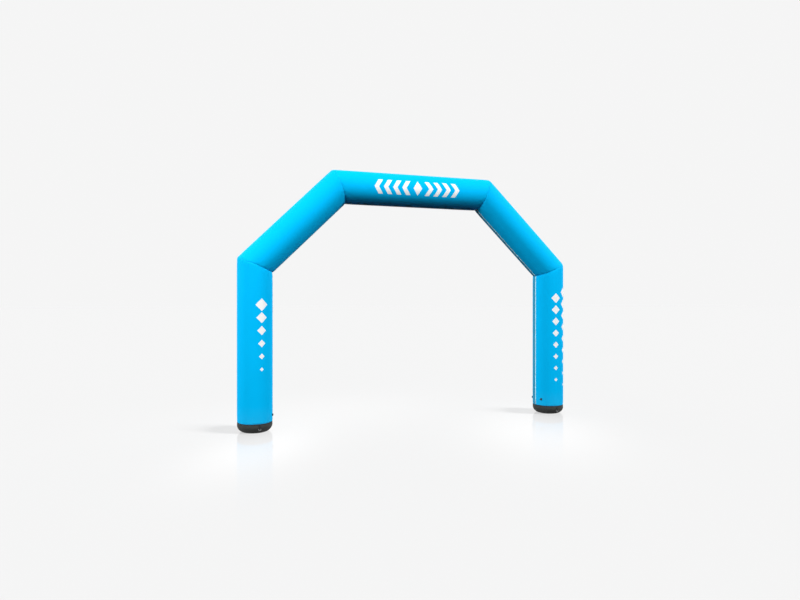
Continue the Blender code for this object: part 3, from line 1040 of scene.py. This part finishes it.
def strip_grid(angles, lifts):
    """Rings of a strip along the tubes from boot to boot: its closed profile is an angle and a height above
    the fabric for each point, and it is cut at each knee on the seam's own plane."""
    rings, along, done = [], [], 0.0
    for index in range(len(TUBES)):
        grid, from_start = along_tube(index, angles, cover_rows(index), lifts, end_gaps(index, ZIP_END, 0.0))
        first = 0 if index == 0 else 1
        rings.append(grid[first:])
        along.append(done + from_start[first:, :1])
        done += from_start[-1, 0]
    across = np.concatenate((angles, angles[:1])) * TUBE_RADIUS
    return np.concatenate(rings), stacked(across[None, :], np.concatenate(along))


def strip_profile(first, last, thick, dents, steps):
    """Angles and heights of a flat strip, rounded at its edges as the root of 1 less the tenth power of the
    way from its middle, with a bell-shaped dent at each row of stitches. The angles lie closer together
    towards the edges, spaced by a cosine."""
    share = 0.5 - 0.5 * np.cos(np.linspace(0.0, math.pi, steps + 1))
    top = PIECE_GAP + thick * np.sqrt(1.0 - np.abs(2.0 * share - 1.0) ** 10)
    angles = first + share * (last - first)
    for dent in dents:
        top = top - STITCH_DENT * np.exp(-(((angles - dent) * TUBE_RADIUS / DENT_REACH) ** 2))
    return closed_profile(angles, top, PIECE_GAP, 4)


def tooth_shape(length):
    """A moulded tooth, narrower at its top than at its foot."""
    foot = np.array(((-0.5, -0.5), (0.5, -0.5), (0.5, 0.5), (-0.5, 0.5))) * (TOOTH_WIDTH, length)
    points = np.concatenate((np.c_[foot, np.zeros(4)], np.c_[foot * TOOTH_TOP, np.full(4, TOOTH_HEIGHT)]))
    return points, rod_faces(2)


def make_zip():
    """The facing with its topstitching, the tape and the two interlocked rows of teeth."""
    scene = bpy.context.scene
    white = tuple(scene.arch_fittings.zip_white)
    middle, chain = math.pi + FACING_FRONT / TUBE_RADIUS, 0.5 * CHAIN_WIDTH / TUBE_RADIUS
    back, joint, front = math.pi - FACING_BACK / TUBE_RADIUS, middle - chain, middle + chain
    facing_stitches = [back + FACING_STITCH / TUBE_RADIUS, joint - FACING_STITCH / TUBE_RADIUS]
    edge = joint - PIECE_GAP / TUBE_RADIUS
    grids = strip_grid(*strip_profile(back, edge, FACING_THICKNESS, facing_stitches, FACING_STEPS))
    finish = cover_finish("facing_fabric", tuple(scene.arch_fabric.facing))
    add_piece("zip_facing_fabric", skin(*grids), finish, "cover", "zip_facing")

    tape_stitch = front - TAPE_EDGE_STITCH / TUBE_RADIUS
    grids = strip_grid(*strip_profile(joint, front, ZIP_TAPE_THICKNESS, [tape_stitch], ZIP_TAPE_STEPS))
    finish = tape_finish("zip_tape", white, 0.0010, depth=0.00012)
    add_piece("zip_tape", skin(*grids), finish, "zip", "zip_chain")

    pitch = scene.arch_fittings.tooth_pitch
    lift = PIECE_GAP + TEETH_FOOT * ZIP_TAPE_THICKNESS
    gaps = (2.0 * ZIP_END, TEETH_KNEE_GAP)
    course = cover_line(joint + TEETH_FROM_FACING / TUBE_RADIUS, lift, gaps, 0.5 * pitch)
    side = np.where(np.arange(len(course.places)) % 2 == 0, 1.0, -1.0)[:, None]
    places = course.places + side * TEETH_APART * np.cross(course.along, course.out)
    mesh = repeat(*tooth_shape(TOOTH_SHARE * pitch), course._replace(places=places))
    add_piece("zip_teeth", mesh, moulded_finish("zip_teeth", white, 0.32, grain=0.00002), "zip")

    def lines(angles, thick):
        gaps = (2.0 * ZIP_END, STITCH_KNEE_GAP)
        return [cover_line(angle, PIECE_GAP + thick, gaps, FACING_PITCH) for angle in angles]

    stitch = stitch_shape(FACING_PITCH)
    courses = lines(facing_stitches, FACING_THICKNESS)
    sew("zip_facing_stitching", stitch, courses, bpy.data.materials["cover_thread"], "cover")
    courses = lines([tape_stitch], ZIP_TAPE_THICKNESS)
    sew("zip_tape_stitching", stitch, courses, thread_finish("zip_thread", white), "zip")


# Pieces set on a leg


def leg_seat(side, towards_front, radius, height):
    """A place on a leg, its out direction pointing away from the leg's axis. The angle is in radians, from
    the side that faces the passage towards the front."""
    out = np.array((-side * math.cos(towards_front), -math.sin(towards_front), 0.0))
    origin = np.array((side * LEG_X, 0.0, height)) + radius * out
    return Seat(origin, np.cross(UPWARDS, out), np.array(UPWARDS), out)


def set_on(seat, points):
    """Points given as across, up and out of a seat, in the arch's own axes."""
    return seat.origin + points @ np.stack(seat[1:])


def rounded_block(half, squareness, taper=0.0):
    """A superellipsoid: each axis is its half size times a sine or cosine raised to a small power, so that it
    is nearly a block with rounded edges. Its width shrinks by the taper from the middle to the top."""
    rise = np.linspace(-0.5 * math.pi, 0.5 * math.pi, 19)[1:-1, None]
    turn = round_angles(40)[None, :]

    def power(values):
        return np.sign(values) * np.abs(values) ** squareness

    x, y = power(np.cos(rise)) * power(np.cos(turn)), power(np.cos(rise)) * power(np.sin(turn))
    return stacked(half[0] * x * (1.0 - taper * y), half[1] * y, half[2] * power(np.sin(rise)))


def sweep(path, side, section, looped=False):
    """A section carried along a path that lies in a plane. The section's first number goes along the side
    direction, square to that plane, and its second within the plane, square to the path."""
    onward = np.roll(path, -1, axis=0) - np.roll(path, 1, axis=0)
    if not looped:
        onward = np.gradient(path, axis=0)
    level = np.cross(side, unit(onward))
    return path[:, None] + section[None, :, :1] * np.asarray(side) + section[None, :, 1:] * level[:, None]


def ellipse(wide, high, steps=16):
    """Closed section of an ellipse, from its two half sizes."""
    turn = round_angles(steps)
    return stacked(wide * np.cos(turn), high * np.sin(turn))


def arc(centre, radius, first, last, steps):
    """Points on an arc between two angles in degrees, as x and y."""
    turn = np.radians(np.linspace(first, last, steps + 1))
    return stacked(centre[0] + radius * np.cos(turn), centre[1] + radius * np.sin(turn))


def flat_loop(parts, wide, high, steps=16):
    """A closed wire of elliptical section along parts of a flat path."""
    path = np.concatenate(parts)
    return sweep(np.c_[path, np.zeros(len(path))], UPWARDS, ellipse(wide, high, steps), looped=True)


def slider_parts():
    """The slider's plate, its bridge, which is half an ellipse, and its two flanges. The numbers are shares
    of its half sizes."""
    wide, long, high = (0.5 * size for size in SLIDER_SIZE)
    plate = rounded_block((wide, long, 0.42 * high), 0.45, taper=-0.16) + (0.0, 0.0, 0.42 * high)
    turn = np.linspace(0.0, math.pi, 15)
    path = stacked(0.0 * turn, 0.62 * long * np.cos(turn), 0.8 * high + 1.1 * high * np.sin(turn))
    bridge = sweep(path, (1.0, 0.0, 0.0), ellipse(0.22 * wide, 0.10 * high, 12))
    flange = rounded_block((0.11 * wide, 0.86 * long, 0.5 * high), 0.5)
    flanges = [flange + (x * 0.86 * wide, 0.0, 0.05 * high) for x in (-1, 1)]
    return (plate, bridge, *flanges)


def pull_parts():
    """The pull's eye, two half circles joined, and its tapered plate. The numbers are shares of its half
    sizes."""
    wide, long, thick = (0.5 * size for size in PULL_SIZE)
    eye = 0.78 * wide
    ends = ((long - eye, 0.0), (0.45 * long, 180.0))
    parts = [arc((0.0, middle), 0.85 * eye, first, first + 180.0, 16) for middle, first in ends]
    ring = flat_loop(parts, 0.9 * thick, 0.22 * wide)
    tongue = rounded_block((wide, 0.62 * long, 0.9 * thick), 0.45, taper=0.12) - (0.0, 0.36 * long, 0.0)
    return ring, tongue


def make_slider():
    """The slider on the chain, and the pull that hangs below it."""
    steel = steel_finish()
    towards_front = FACING_FRONT / TUBE_RADIUS
    base = TUBE_RADIUS + 2.0 * PIECE_GAP + CHAIN_HEIGHT
    seat = leg_seat(1, towards_front, base, SLIDER_Z)
    mesh = joined([skin(set_on(seat, part)) for part in slider_parts()])
    add_piece("zip_slider_body", mesh, steel, "metal", "zip_slider")
    pull_z = SLIDER_Z - 0.5 * (SLIDER_SIZE[1] + PULL_SIZE[1]) - PIECE_GAP
    seat = leg_seat(1, towards_front, base + 0.5 * PULL_SIZE[2], pull_z)
    ring, tongue = pull_parts()
    mesh = joined([skin(set_on(seat, ring), looped=True), skin(set_on(seat, tongue))])
    add_piece("zip_pull_tab", mesh, steel, "metal", "zip_pull")


# Valves


def turned(profile, steps, ribs, cut):
    """A surface turned about the out direction from a profile of radius, height and how strongly its ribs
    show there. Between ribs the radius loses up to the cut's share, as the square of a raised cosine."""
    radius, height, shown = profile.T[:, :, None]
    turn = round_angles(steps)[None, :]
    radius = radius * (1.0 - cut * shown * (0.5 - 0.5 * np.cos(ribs * turn)) ** 2)
    return stacked(radius * np.cos(turn), radius * np.sin(turn), height)


def keeper_loop():
    """The loop that keeps a cap: a thin strip bent along part of an ellipse, from the flange up past the
    cap's side."""
    turn = np.linspace(-0.9, 1.25 * math.pi, 21)
    beside = -0.5 * (CAP_RADIUS + FLANGE_RADIUS) - KEEPER_REACH * np.cos(turn)
    loop = stacked(0.0, beside, KEEPER_MIDDLE + KEEPER_RISE * np.sin(turn))
    return sweep(loop, (1.0, 0.0, 0.0), ellipse(*KEEPER_SECTION, 12))


def patch_profile():
    """Radii and heights of a flat ring of cloth, rounded at its outer edge as the root of 1 less the eighth
    power of the way across it."""
    share = np.linspace(0.0, 1.0, 11)
    crown = PATCH_THICKNESS * np.sqrt(1.0 - share**8)
    return closed_profile(PATCH_HOLE + share * (PATCH_RADIUS - PATCH_HOLE), crown, 0.0, 2)


def patch_points(side, towards_front, height, radius, turn, lift):
    """Points on the leg round a valve, from how far away they are, in which direction, and how high."""
    angle = towards_front + radius * np.cos(turn) / TUBE_RADIUS * side
    out = TUBE_RADIUS + lift
    return stacked(side * (LEG_X - out * np.cos(angle)), -out * np.sin(angle), height + radius * np.sin(turn))


def sew_patch(name, side, towards_front, height, cloth):
    """A valve's round patch, with one ring of stitches near its edge."""
    turn = round_angles(PATCH_STEPS)[None, :]
    radius, lift = (part[:, None] for part in patch_profile())
    grid = patch_points(side, towards_front, height, radius, turn, lift)
    surface = np.pad(stacked(radius * np.cos(turn), radius * np.sin(turn)), ((0, 1), (0, 1), (0, 0)), "wrap")
    add_piece(name + "_patch", skin(grid, surface, looped=True), cloth, "cover")
    stitches = (PATCH_RADIUS - PATCH_STITCH, round_angles(), PATCH_THICKNESS)
    ring = patch_points(side, towards_front, height, *stitches)
    out = unit((ring - (side * LEG_X, 0.0, 0.0)) * (1.0, 1.0, 0.0))
    courses = [even_course(ring, out, PATCH_PITCH, closed=True)]
    thread = bpy.data.materials["cover_thread"]
    sew(name + "_patch_stitching", stitch_shape(PATCH_PITCH), courses, thread, "cover")


def make_valves():
    """Each valve: a stepped flange, a ribbed cap, the loop that keeps it and a round patch sewn to the
    cover."""
    scene = bpy.context.scene
    plastic = moulded_finish("valve_plastic", tuple(scene.arch_fittings.plastic), 0.38)
    cloth = cover_finish("patch_fabric", tone(tuple(scene.arch_fabric.cover), 0.93))
    flange = np.array(FLANGE_PROFILE) * (FLANGE_RADIUS, FLANGE_THICKNESS, 1.0)
    cap = np.array(CAP_PROFILE) * (CAP_RADIUS, CAP_HEIGHT, 1.0)
    turned_parts = (
        ("_base", turned(flange, *FLANGE_RIBBING), PIECE_GAP, "_flange"),
        ("_knob", turned(cap, *CAP_RIBBING), 2.0 * PIECE_GAP + FLANGE_THICKNESS, "_cap"),
    )
    for name, (side, degrees, height) in VALVES.items():
        towards_front = math.radians(degrees)
        for piece, grid, rise, node in turned_parts:
            seat = leg_seat(side, towards_front, TUBE_RADIUS + rise, height)
            mesh = skin(set_on(seat, grid), sharp_degrees=VALVE_SHARP_EDGE)
            add_piece(name + piece, mesh, plastic, "valve", name + node)
        seat = leg_seat(side, towards_front, TUBE_RADIUS + PIECE_GAP, height)
        add_piece(name + "_keeper", skin(set_on(seat, keeper_loop())), plastic, "valve")
        sew_patch(name, side, towards_front, height, cloth)


# Guy rings


def ring_seat(name):
    """Where a guy ring's bar lies: the tab's back is seated on the boot's furthest point behind it."""
    side, turn = RING_TURNS[name][0], math.radians(RING_TURNS[name][1])
    loop = RING_WIRE + LOOP_CLEARANCE + WEB_THICKNESS
    offsets = np.linspace(-0.5, 0.5, 5) * TAB_WIDTH / TUBE_RADIUS
    heights = np.linspace(RING_Z, TAB_TOP_Z, 12)[:, None]
    radius = (boot_radii(turn - 0.5 * math.pi + offsets, heights, fine=False) * np.cos(offsets)).max()
    return leg_seat(side, 0.5 * math.pi + side * turn, radius + PIECE_GAP + loop, RING_Z)


def tab_outline():
    """Closed outline of the doubled webbing about the ring's bar, as out and up: round the bar, up the front
    layer, over the folded top and down the flat back. The front layer leaves the bar along a smooth S and
    lies flat on the back one from the neck up."""
    loop = RING_WIRE + LOOP_CLEARANCE + WEB_THICKNESS
    front = 2.0 * WEB_THICKNESS - loop
    top = TAB_TOP_Z - RING_Z
    round_bar = arc((0.0, 0.0), loop, -180.0, 40.0, 30)
    last = round_bar[-1]
    share = np.linspace(0.0, 1.0, 7)[1:-1, None]
    swing = NECK_SWING * np.sin(FULL_TURN * share) * (1.0, 0.0)
    drift = last + share * ((front, LOOP_NECK) - last) + swing
    front_line = stacked(front, np.linspace(LOOP_NECK, top - TAB_FOLD, 6))
    fold = arc((front - TAB_FOLD, top - TAB_FOLD), TAB_FOLD, 30.0, 90.0, 3)
    back_top = arc((TAB_FOLD - loop, top - TAB_FOLD), TAB_FOLD, 90.0, 180.0, 3)
    back = stacked(-loop, np.linspace(top - BACK_GAPS[0], BACK_GAPS[1], 9))
    return np.concatenate((round_bar, drift, front_line, fold, back_top, back))


def tab_grid():
    """The outline drawn across the tab's width, thinned towards both edges by the twenty-fourth power of the
    way from its middle, with a round hole for the bar, and its UV pairs."""
    outline = tab_outline()
    edge = np.roll(outline, -1, axis=0) - np.roll(outline, 1, axis=0)
    inward = unit(stacked(-edge[:, 1], edge[:, 0]))
    stations = 0.5 * TAB_WIDTH * np.array((-1.0, -0.97, -0.9, -0.6, -0.2, 0.2, 0.6, 0.9, 0.97, 1.0))
    thinned = TAB_THINNED * (np.abs(stations) / (0.5 * TAB_WIDTH)) ** 24
    layers = [(x, outline + thin * inward) for x, thin in zip(stations, thinned)]
    layers += [(x, unit(outline) * (RING_WIRE + LOOP_CLEARANCE)) for x in stations[::-3]]
    grid = np.stack([stacked(x, points[:, 1], points[:, 0]) for x, points in layers])
    lengths = np.concatenate(([0.0], np.cumsum(np.linalg.norm(edge, axis=1) * 0.5)))
    across = np.array([x for x, _ in layers] + [layers[0][0]])
    return grid, stacked(across[:, None], lengths[None, :])


def make_ring_tabs():
    """The webbing tabs, sewn through with a crossed box."""
    scene = bpy.context.scene
    webbing = tape_finish("tab_webbing", tuple(scene.arch_fittings.webbing), 0.0015, depth=0.0004)
    thread = thread_finish("tab_thread", tone(tuple(scene.arch_sewing.boot_thread), 2.2))
    grid, surface = tab_grid()
    front = WEB_THICKNESS - RING_WIRE - LOOP_CLEARANCE
    half = 0.5 * TAB_WIDTH - TAB_EDGE_STITCH
    low, high = LOOP_NECK + BOX_RISE, TAB_TOP_Z - RING_Z - TAB_EDGE_STITCH
    corners = ((-half, low, front), (half, low, front), (half, high, front), (-half, high, front))
    lines = [(corners[i], corners[j]) for i, j in ((0, 1), (1, 2), (2, 3), (3, 0), (0, 2), (1, 3))]
    for name in RING_TURNS:
        seat = ring_seat(name)
        mesh = skin(set_on(seat, grid), surface, looped=True)
        add_piece(name + "_tab_webbing", mesh, webbing, "webbing", name + "_ring_tab")
        courses = []
        for line in lines:
            points = set_on(seat, np.linspace(*line, 30))
            courses.append(even_course(points, np.broadcast_to(seat.out, points.shape), TAB_PITCH))
        sew(name + "_stitching", stitch_shape(TAB_PITCH), courses, thread, "webbing")


def make_guy_rings():
    """Round wire bent to a D: a straight bar, two tight corners and half an ellipse that hangs below it."""
    wide = RING_BAR + RING_CORNER
    turn = np.linspace(0.0, -math.pi, 61)[1:-1]
    bow = stacked(wide * np.cos(turn), -RING_CORNER + RING_DROP * np.sin(turn))
    bar = stacked(np.linspace(-RING_BAR, RING_BAR, 12), 0.0)
    right = arc((RING_BAR, -RING_CORNER), RING_CORNER, 80.0, 0.0, 8)
    left = arc((-RING_BAR, -RING_CORNER), RING_CORNER, 180.0, 100.0, 8)
    ring = flat_loop((bar, right, bow, left), RING_WIRE, RING_WIRE, 20)
    for name in RING_TURNS:
        mesh = skin(set_on(ring_seat(name), ring), looped=True)
        add_piece(name + "_ring_wire", mesh, steel_finish(), "metal", name + "_guy_ring")


# Stage


def make_floor():
    corners = [(x * FLOOR_REACH, y * FLOOR_REACH, 0.0) for x, y in ((-1, -1), (1, -1), (1, 1), (-1, 1))]
    mesh = bpy.data.meshes.new("studio_floor")
    mesh.from_pydata(corners, [], [(0, 1, 2, 3)])
    mesh.materials.append(floor_finish())
    floor = bpy.data.objects.new("studio_floor", mesh)
    bpy.context.scene.collection.objects.link(floor)
    # The floor casts no light of its own on the arch, as when it is far wider than the lit part.
    floor.visible_diffuse = False
    return floor


def put_light(lamp, turn, linked, place=(0.0, 0.0, 0.0)):
    light = bpy.data.objects.new(lamp.name, lamp)
    light.location = place
    light.rotation_euler = turn
    bpy.context.scene.collection.objects.link(light)
    light.light_linking.receiver_collection = linked
    return light


def make_soft_light(name, place, power, linked):
    """One large soft light aimed at the arch. It leaves the floor to the surround."""
    lamp = bpy.data.lights.new(name, "AREA")
    lamp.energy = power
    lamp.size = bpy.context.scene.arch_stage.light_size
    put_light(lamp, (Vector(LIGHT_AIM) - Vector(place)).to_track_quat("-Z", "Y").to_euler(), linked, place)


def make_side_light(linked):
    """A low light on the floor alone, which gives each foot its soft shadow to the left. Only the boots cast
    it."""
    lamp = bpy.data.lights.new("side_light", "SUN")
    turn = [math.radians(degrees) for degrees in SIDE_LIGHT_TURN]
    lamp.angle = math.radians(SIDE_LIGHT_WIDTH)
    lamp.energy = math.pi * FLOOR_LIGHT * FLOOR_SHARES[1] / (FLOOR_SHARES[0] * math.cos(turn[0]))
    light = put_light(lamp, turn, linked)
    # The polish doesn't mirror it.
    light.visible_glossy = False
    feet = bpy.data.collections.new("side_light_shadows")
    for name in SHADOW_PIECES:
        feet.objects.link(bpy.data.objects[name])
    light.light_linking.blocker_collection = feet


def make_surround():
    """World light: brightest low down and behind, dark overhead and below the horizon. The camera and
    polished surfaces see an even backdrop instead."""
    world = bpy.data.worlds.new("studio_surround")
    bpy.context.scene.world = world
    world.use_nodes = True
    nodes = Nodes(world.node_tree)
    x, y, z = nodes.parts(nodes.node("ShaderNodeTexCoord", {}, output="Generated"))
    glow = SURROUND_LOW - SURROUND_FALL * z - SURROUND_LEFT * x + SURROUND_BACK * y
    glow = nodes.math("MAXIMUM", glow, 0.0) * nodes.clamp((z - HORIZON) / HORIZON_SOFTNESS)
    path = nodes.node("ShaderNodeLightPath", {}).socket.node
    seen = [Shade(nodes, path.outputs[name]) for name in ("Is Camera Ray", "Is Glossy Ray")]
    seen = nodes.math("MAXIMUM", *seen)
    backdrop = bpy.context.scene.arch_stage.backdrop
    strength = seen * backdrop + (1.0 - seen) * glow
    background = world.node_tree.nodes["Background"]
    background.inputs["Color"].default_value = (1.0, 1.0, 1.0, 1.0)
    world.node_tree.links.new(strength.socket, background.inputs["Strength"])


def make_camera():
    stage = bpy.context.scene.arch_stage
    lens = bpy.data.cameras.new("camera")
    lens.lens = stage.lens
    lens.sensor_width = SENSOR_WIDTH
    lens.clip_end = 4.0 * FLOOR_REACH
    camera = bpy.data.objects.new("camera", lens)
    camera.location = CAMERA_PLACE
    camera.rotation_euler = [math.radians(degrees) for degrees in CAMERA_TURN]
    bpy.context.scene.collection.objects.link(camera)
    bpy.context.scene.camera = camera


def make_stage():
    """Floor, soft light, surround and camera, with colours shown as they are lit."""
    bpy.context.scene.view_settings.view_transform = "Standard"
    stage = bpy.context.scene.arch_stage
    floor = make_floor()
    linked = {}
    for state in ("INCLUDE", "EXCLUDE"):
        linked[state] = bpy.data.collections.new("floor_" + state.lower())
        linked[state].objects.link(floor)
        linked[state].collection_objects[0].light_linking.link_state = state
    make_soft_light("key_light", KEY_PLACE, stage.key_power, linked["EXCLUDE"])
    make_soft_light("fill_light", FILL_PLACE, stage.fill_power, linked["EXCLUDE"])
    make_side_light(linked["INCLUDE"])
    make_surround()
    make_camera()
# Operators


class ArchOperator:
    """Runs one making function; a mistake in it stops the script."""

    bl_options = {"REGISTER", "UNDO"}

    def execute(self, context):
        type(self).make()
        return {"FINISHED"}


class ARCH_OT_covers(ArchOperator, bpy.types.Operator):
    """Make the five fabric covers with their puckers, wrinkles and print"""

    bl_idname = "arch.make_covers"
    bl_label = "Covers"
    make = make_covers


class ARCH_OT_boots(ArchOperator, bpy.types.Operator):
    """Make the two boots and their tapes"""

    bl_idname = "arch.make_boots"
    bl_label = "Boots"
    make = make_boots


class ARCH_OT_stitching(ArchOperator, bpy.types.Operator):
    """Sew the seams, the hems and the boots' tapes"""

    bl_idname = "arch.make_stitching"
    bl_label = "Stitching"
    make = make_stitching


class ARCH_OT_zip(ArchOperator, bpy.types.Operator):
    """Make the zip's facing, tape and teeth, after the stitching"""

    bl_idname = "arch.make_zip"
    bl_label = "Zip"
    make = make_zip


class ARCH_OT_slider(ArchOperator, bpy.types.Operator):
    """Make the zip's slider and pull"""

    bl_idname = "arch.make_slider"
    bl_label = "Slider"
    make = make_slider


class ARCH_OT_valves(ArchOperator, bpy.types.Operator):
    """Make the valves with their patches, after the stitching"""

    bl_idname = "arch.make_valves"
    bl_label = "Valves"
    make = make_valves


class ARCH_OT_ring_tabs(ArchOperator, bpy.types.Operator):
    """Make the webbing tabs that hold the guy rings"""

    bl_idname = "arch.make_ring_tabs"
    bl_label = "Ring Tabs"
    make = make_ring_tabs


class ARCH_OT_guy_rings(ArchOperator, bpy.types.Operator):
    """Make the two guy rings"""

    bl_idname = "arch.make_guy_rings"
    bl_label = "Guy Rings"
    make = make_guy_rings


class ARCH_OT_stage(ArchOperator, bpy.types.Operator):
    """Set up the floor, the soft light and the camera, after the boots and covers"""

    bl_idname = "arch.make_stage"
    bl_label = "Stage"
    make = make_stage


GROUPS = {
    "arch_fabric": ArchFabric,
    "arch_print": ArchPrint,
    "arch_sewing": ArchSewing,
    "arch_fittings": ArchFittings,
    "arch_stage": ArchStage,
}
OPERATORS = (
    ARCH_OT_covers,
    ARCH_OT_boots,
    ARCH_OT_stitching,
    ARCH_OT_zip,
    ARCH_OT_slider,
    ARCH_OT_valves,
    ARCH_OT_ring_tabs,
    ARCH_OT_guy_rings,
    ARCH_OT_stage,
)


class ARCH_PT_panel(bpy.types.Panel):
    """The arch's sizes and colours, and a button for each group of pieces"""

    bl_idname = "ARCH_PT_panel"
    bl_label = "Inflatable Arch"
    bl_space_type = "VIEW_3D"
    bl_region_type = "UI"
    bl_category = "Arch"

    def draw(self, context):
        for name, group in GROUPS.items():
            box = self.layout.box()
            box.label(text=group.__doc__)
            for key in group.__annotations__:
                box.prop(getattr(context.scene, name), key)
        for operator in OPERATORS:
            self.layout.operator(operator.bl_idname)


def register():
    for made in (*GROUPS.values(), *OPERATORS, ARCH_PT_panel):
        bpy.utils.register_class(made)
    for name, group in GROUPS.items():
        setattr(bpy.types.Scene, name, PointerProperty(type=group))


def unregister():
    for name in GROUPS:
        delattr(bpy.types.Scene, name)
    for made in reversed((*GROUPS.values(), *OPERATORS, ARCH_PT_panel)):
        bpy.utils.unregister_class(made)


def main():
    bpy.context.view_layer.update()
    register()
    bpy.ops.arch.make_covers()
    bpy.ops.arch.make_boots()
    bpy.ops.arch.make_stitching()
    bpy.ops.arch.make_zip()
    bpy.ops.arch.make_slider()
    bpy.ops.arch.make_valves()
    bpy.ops.arch.make_ring_tabs()
    bpy.ops.arch.make_guy_rings()
    bpy.ops.arch.make_stage()


if __name__ == "__main__":
    main()
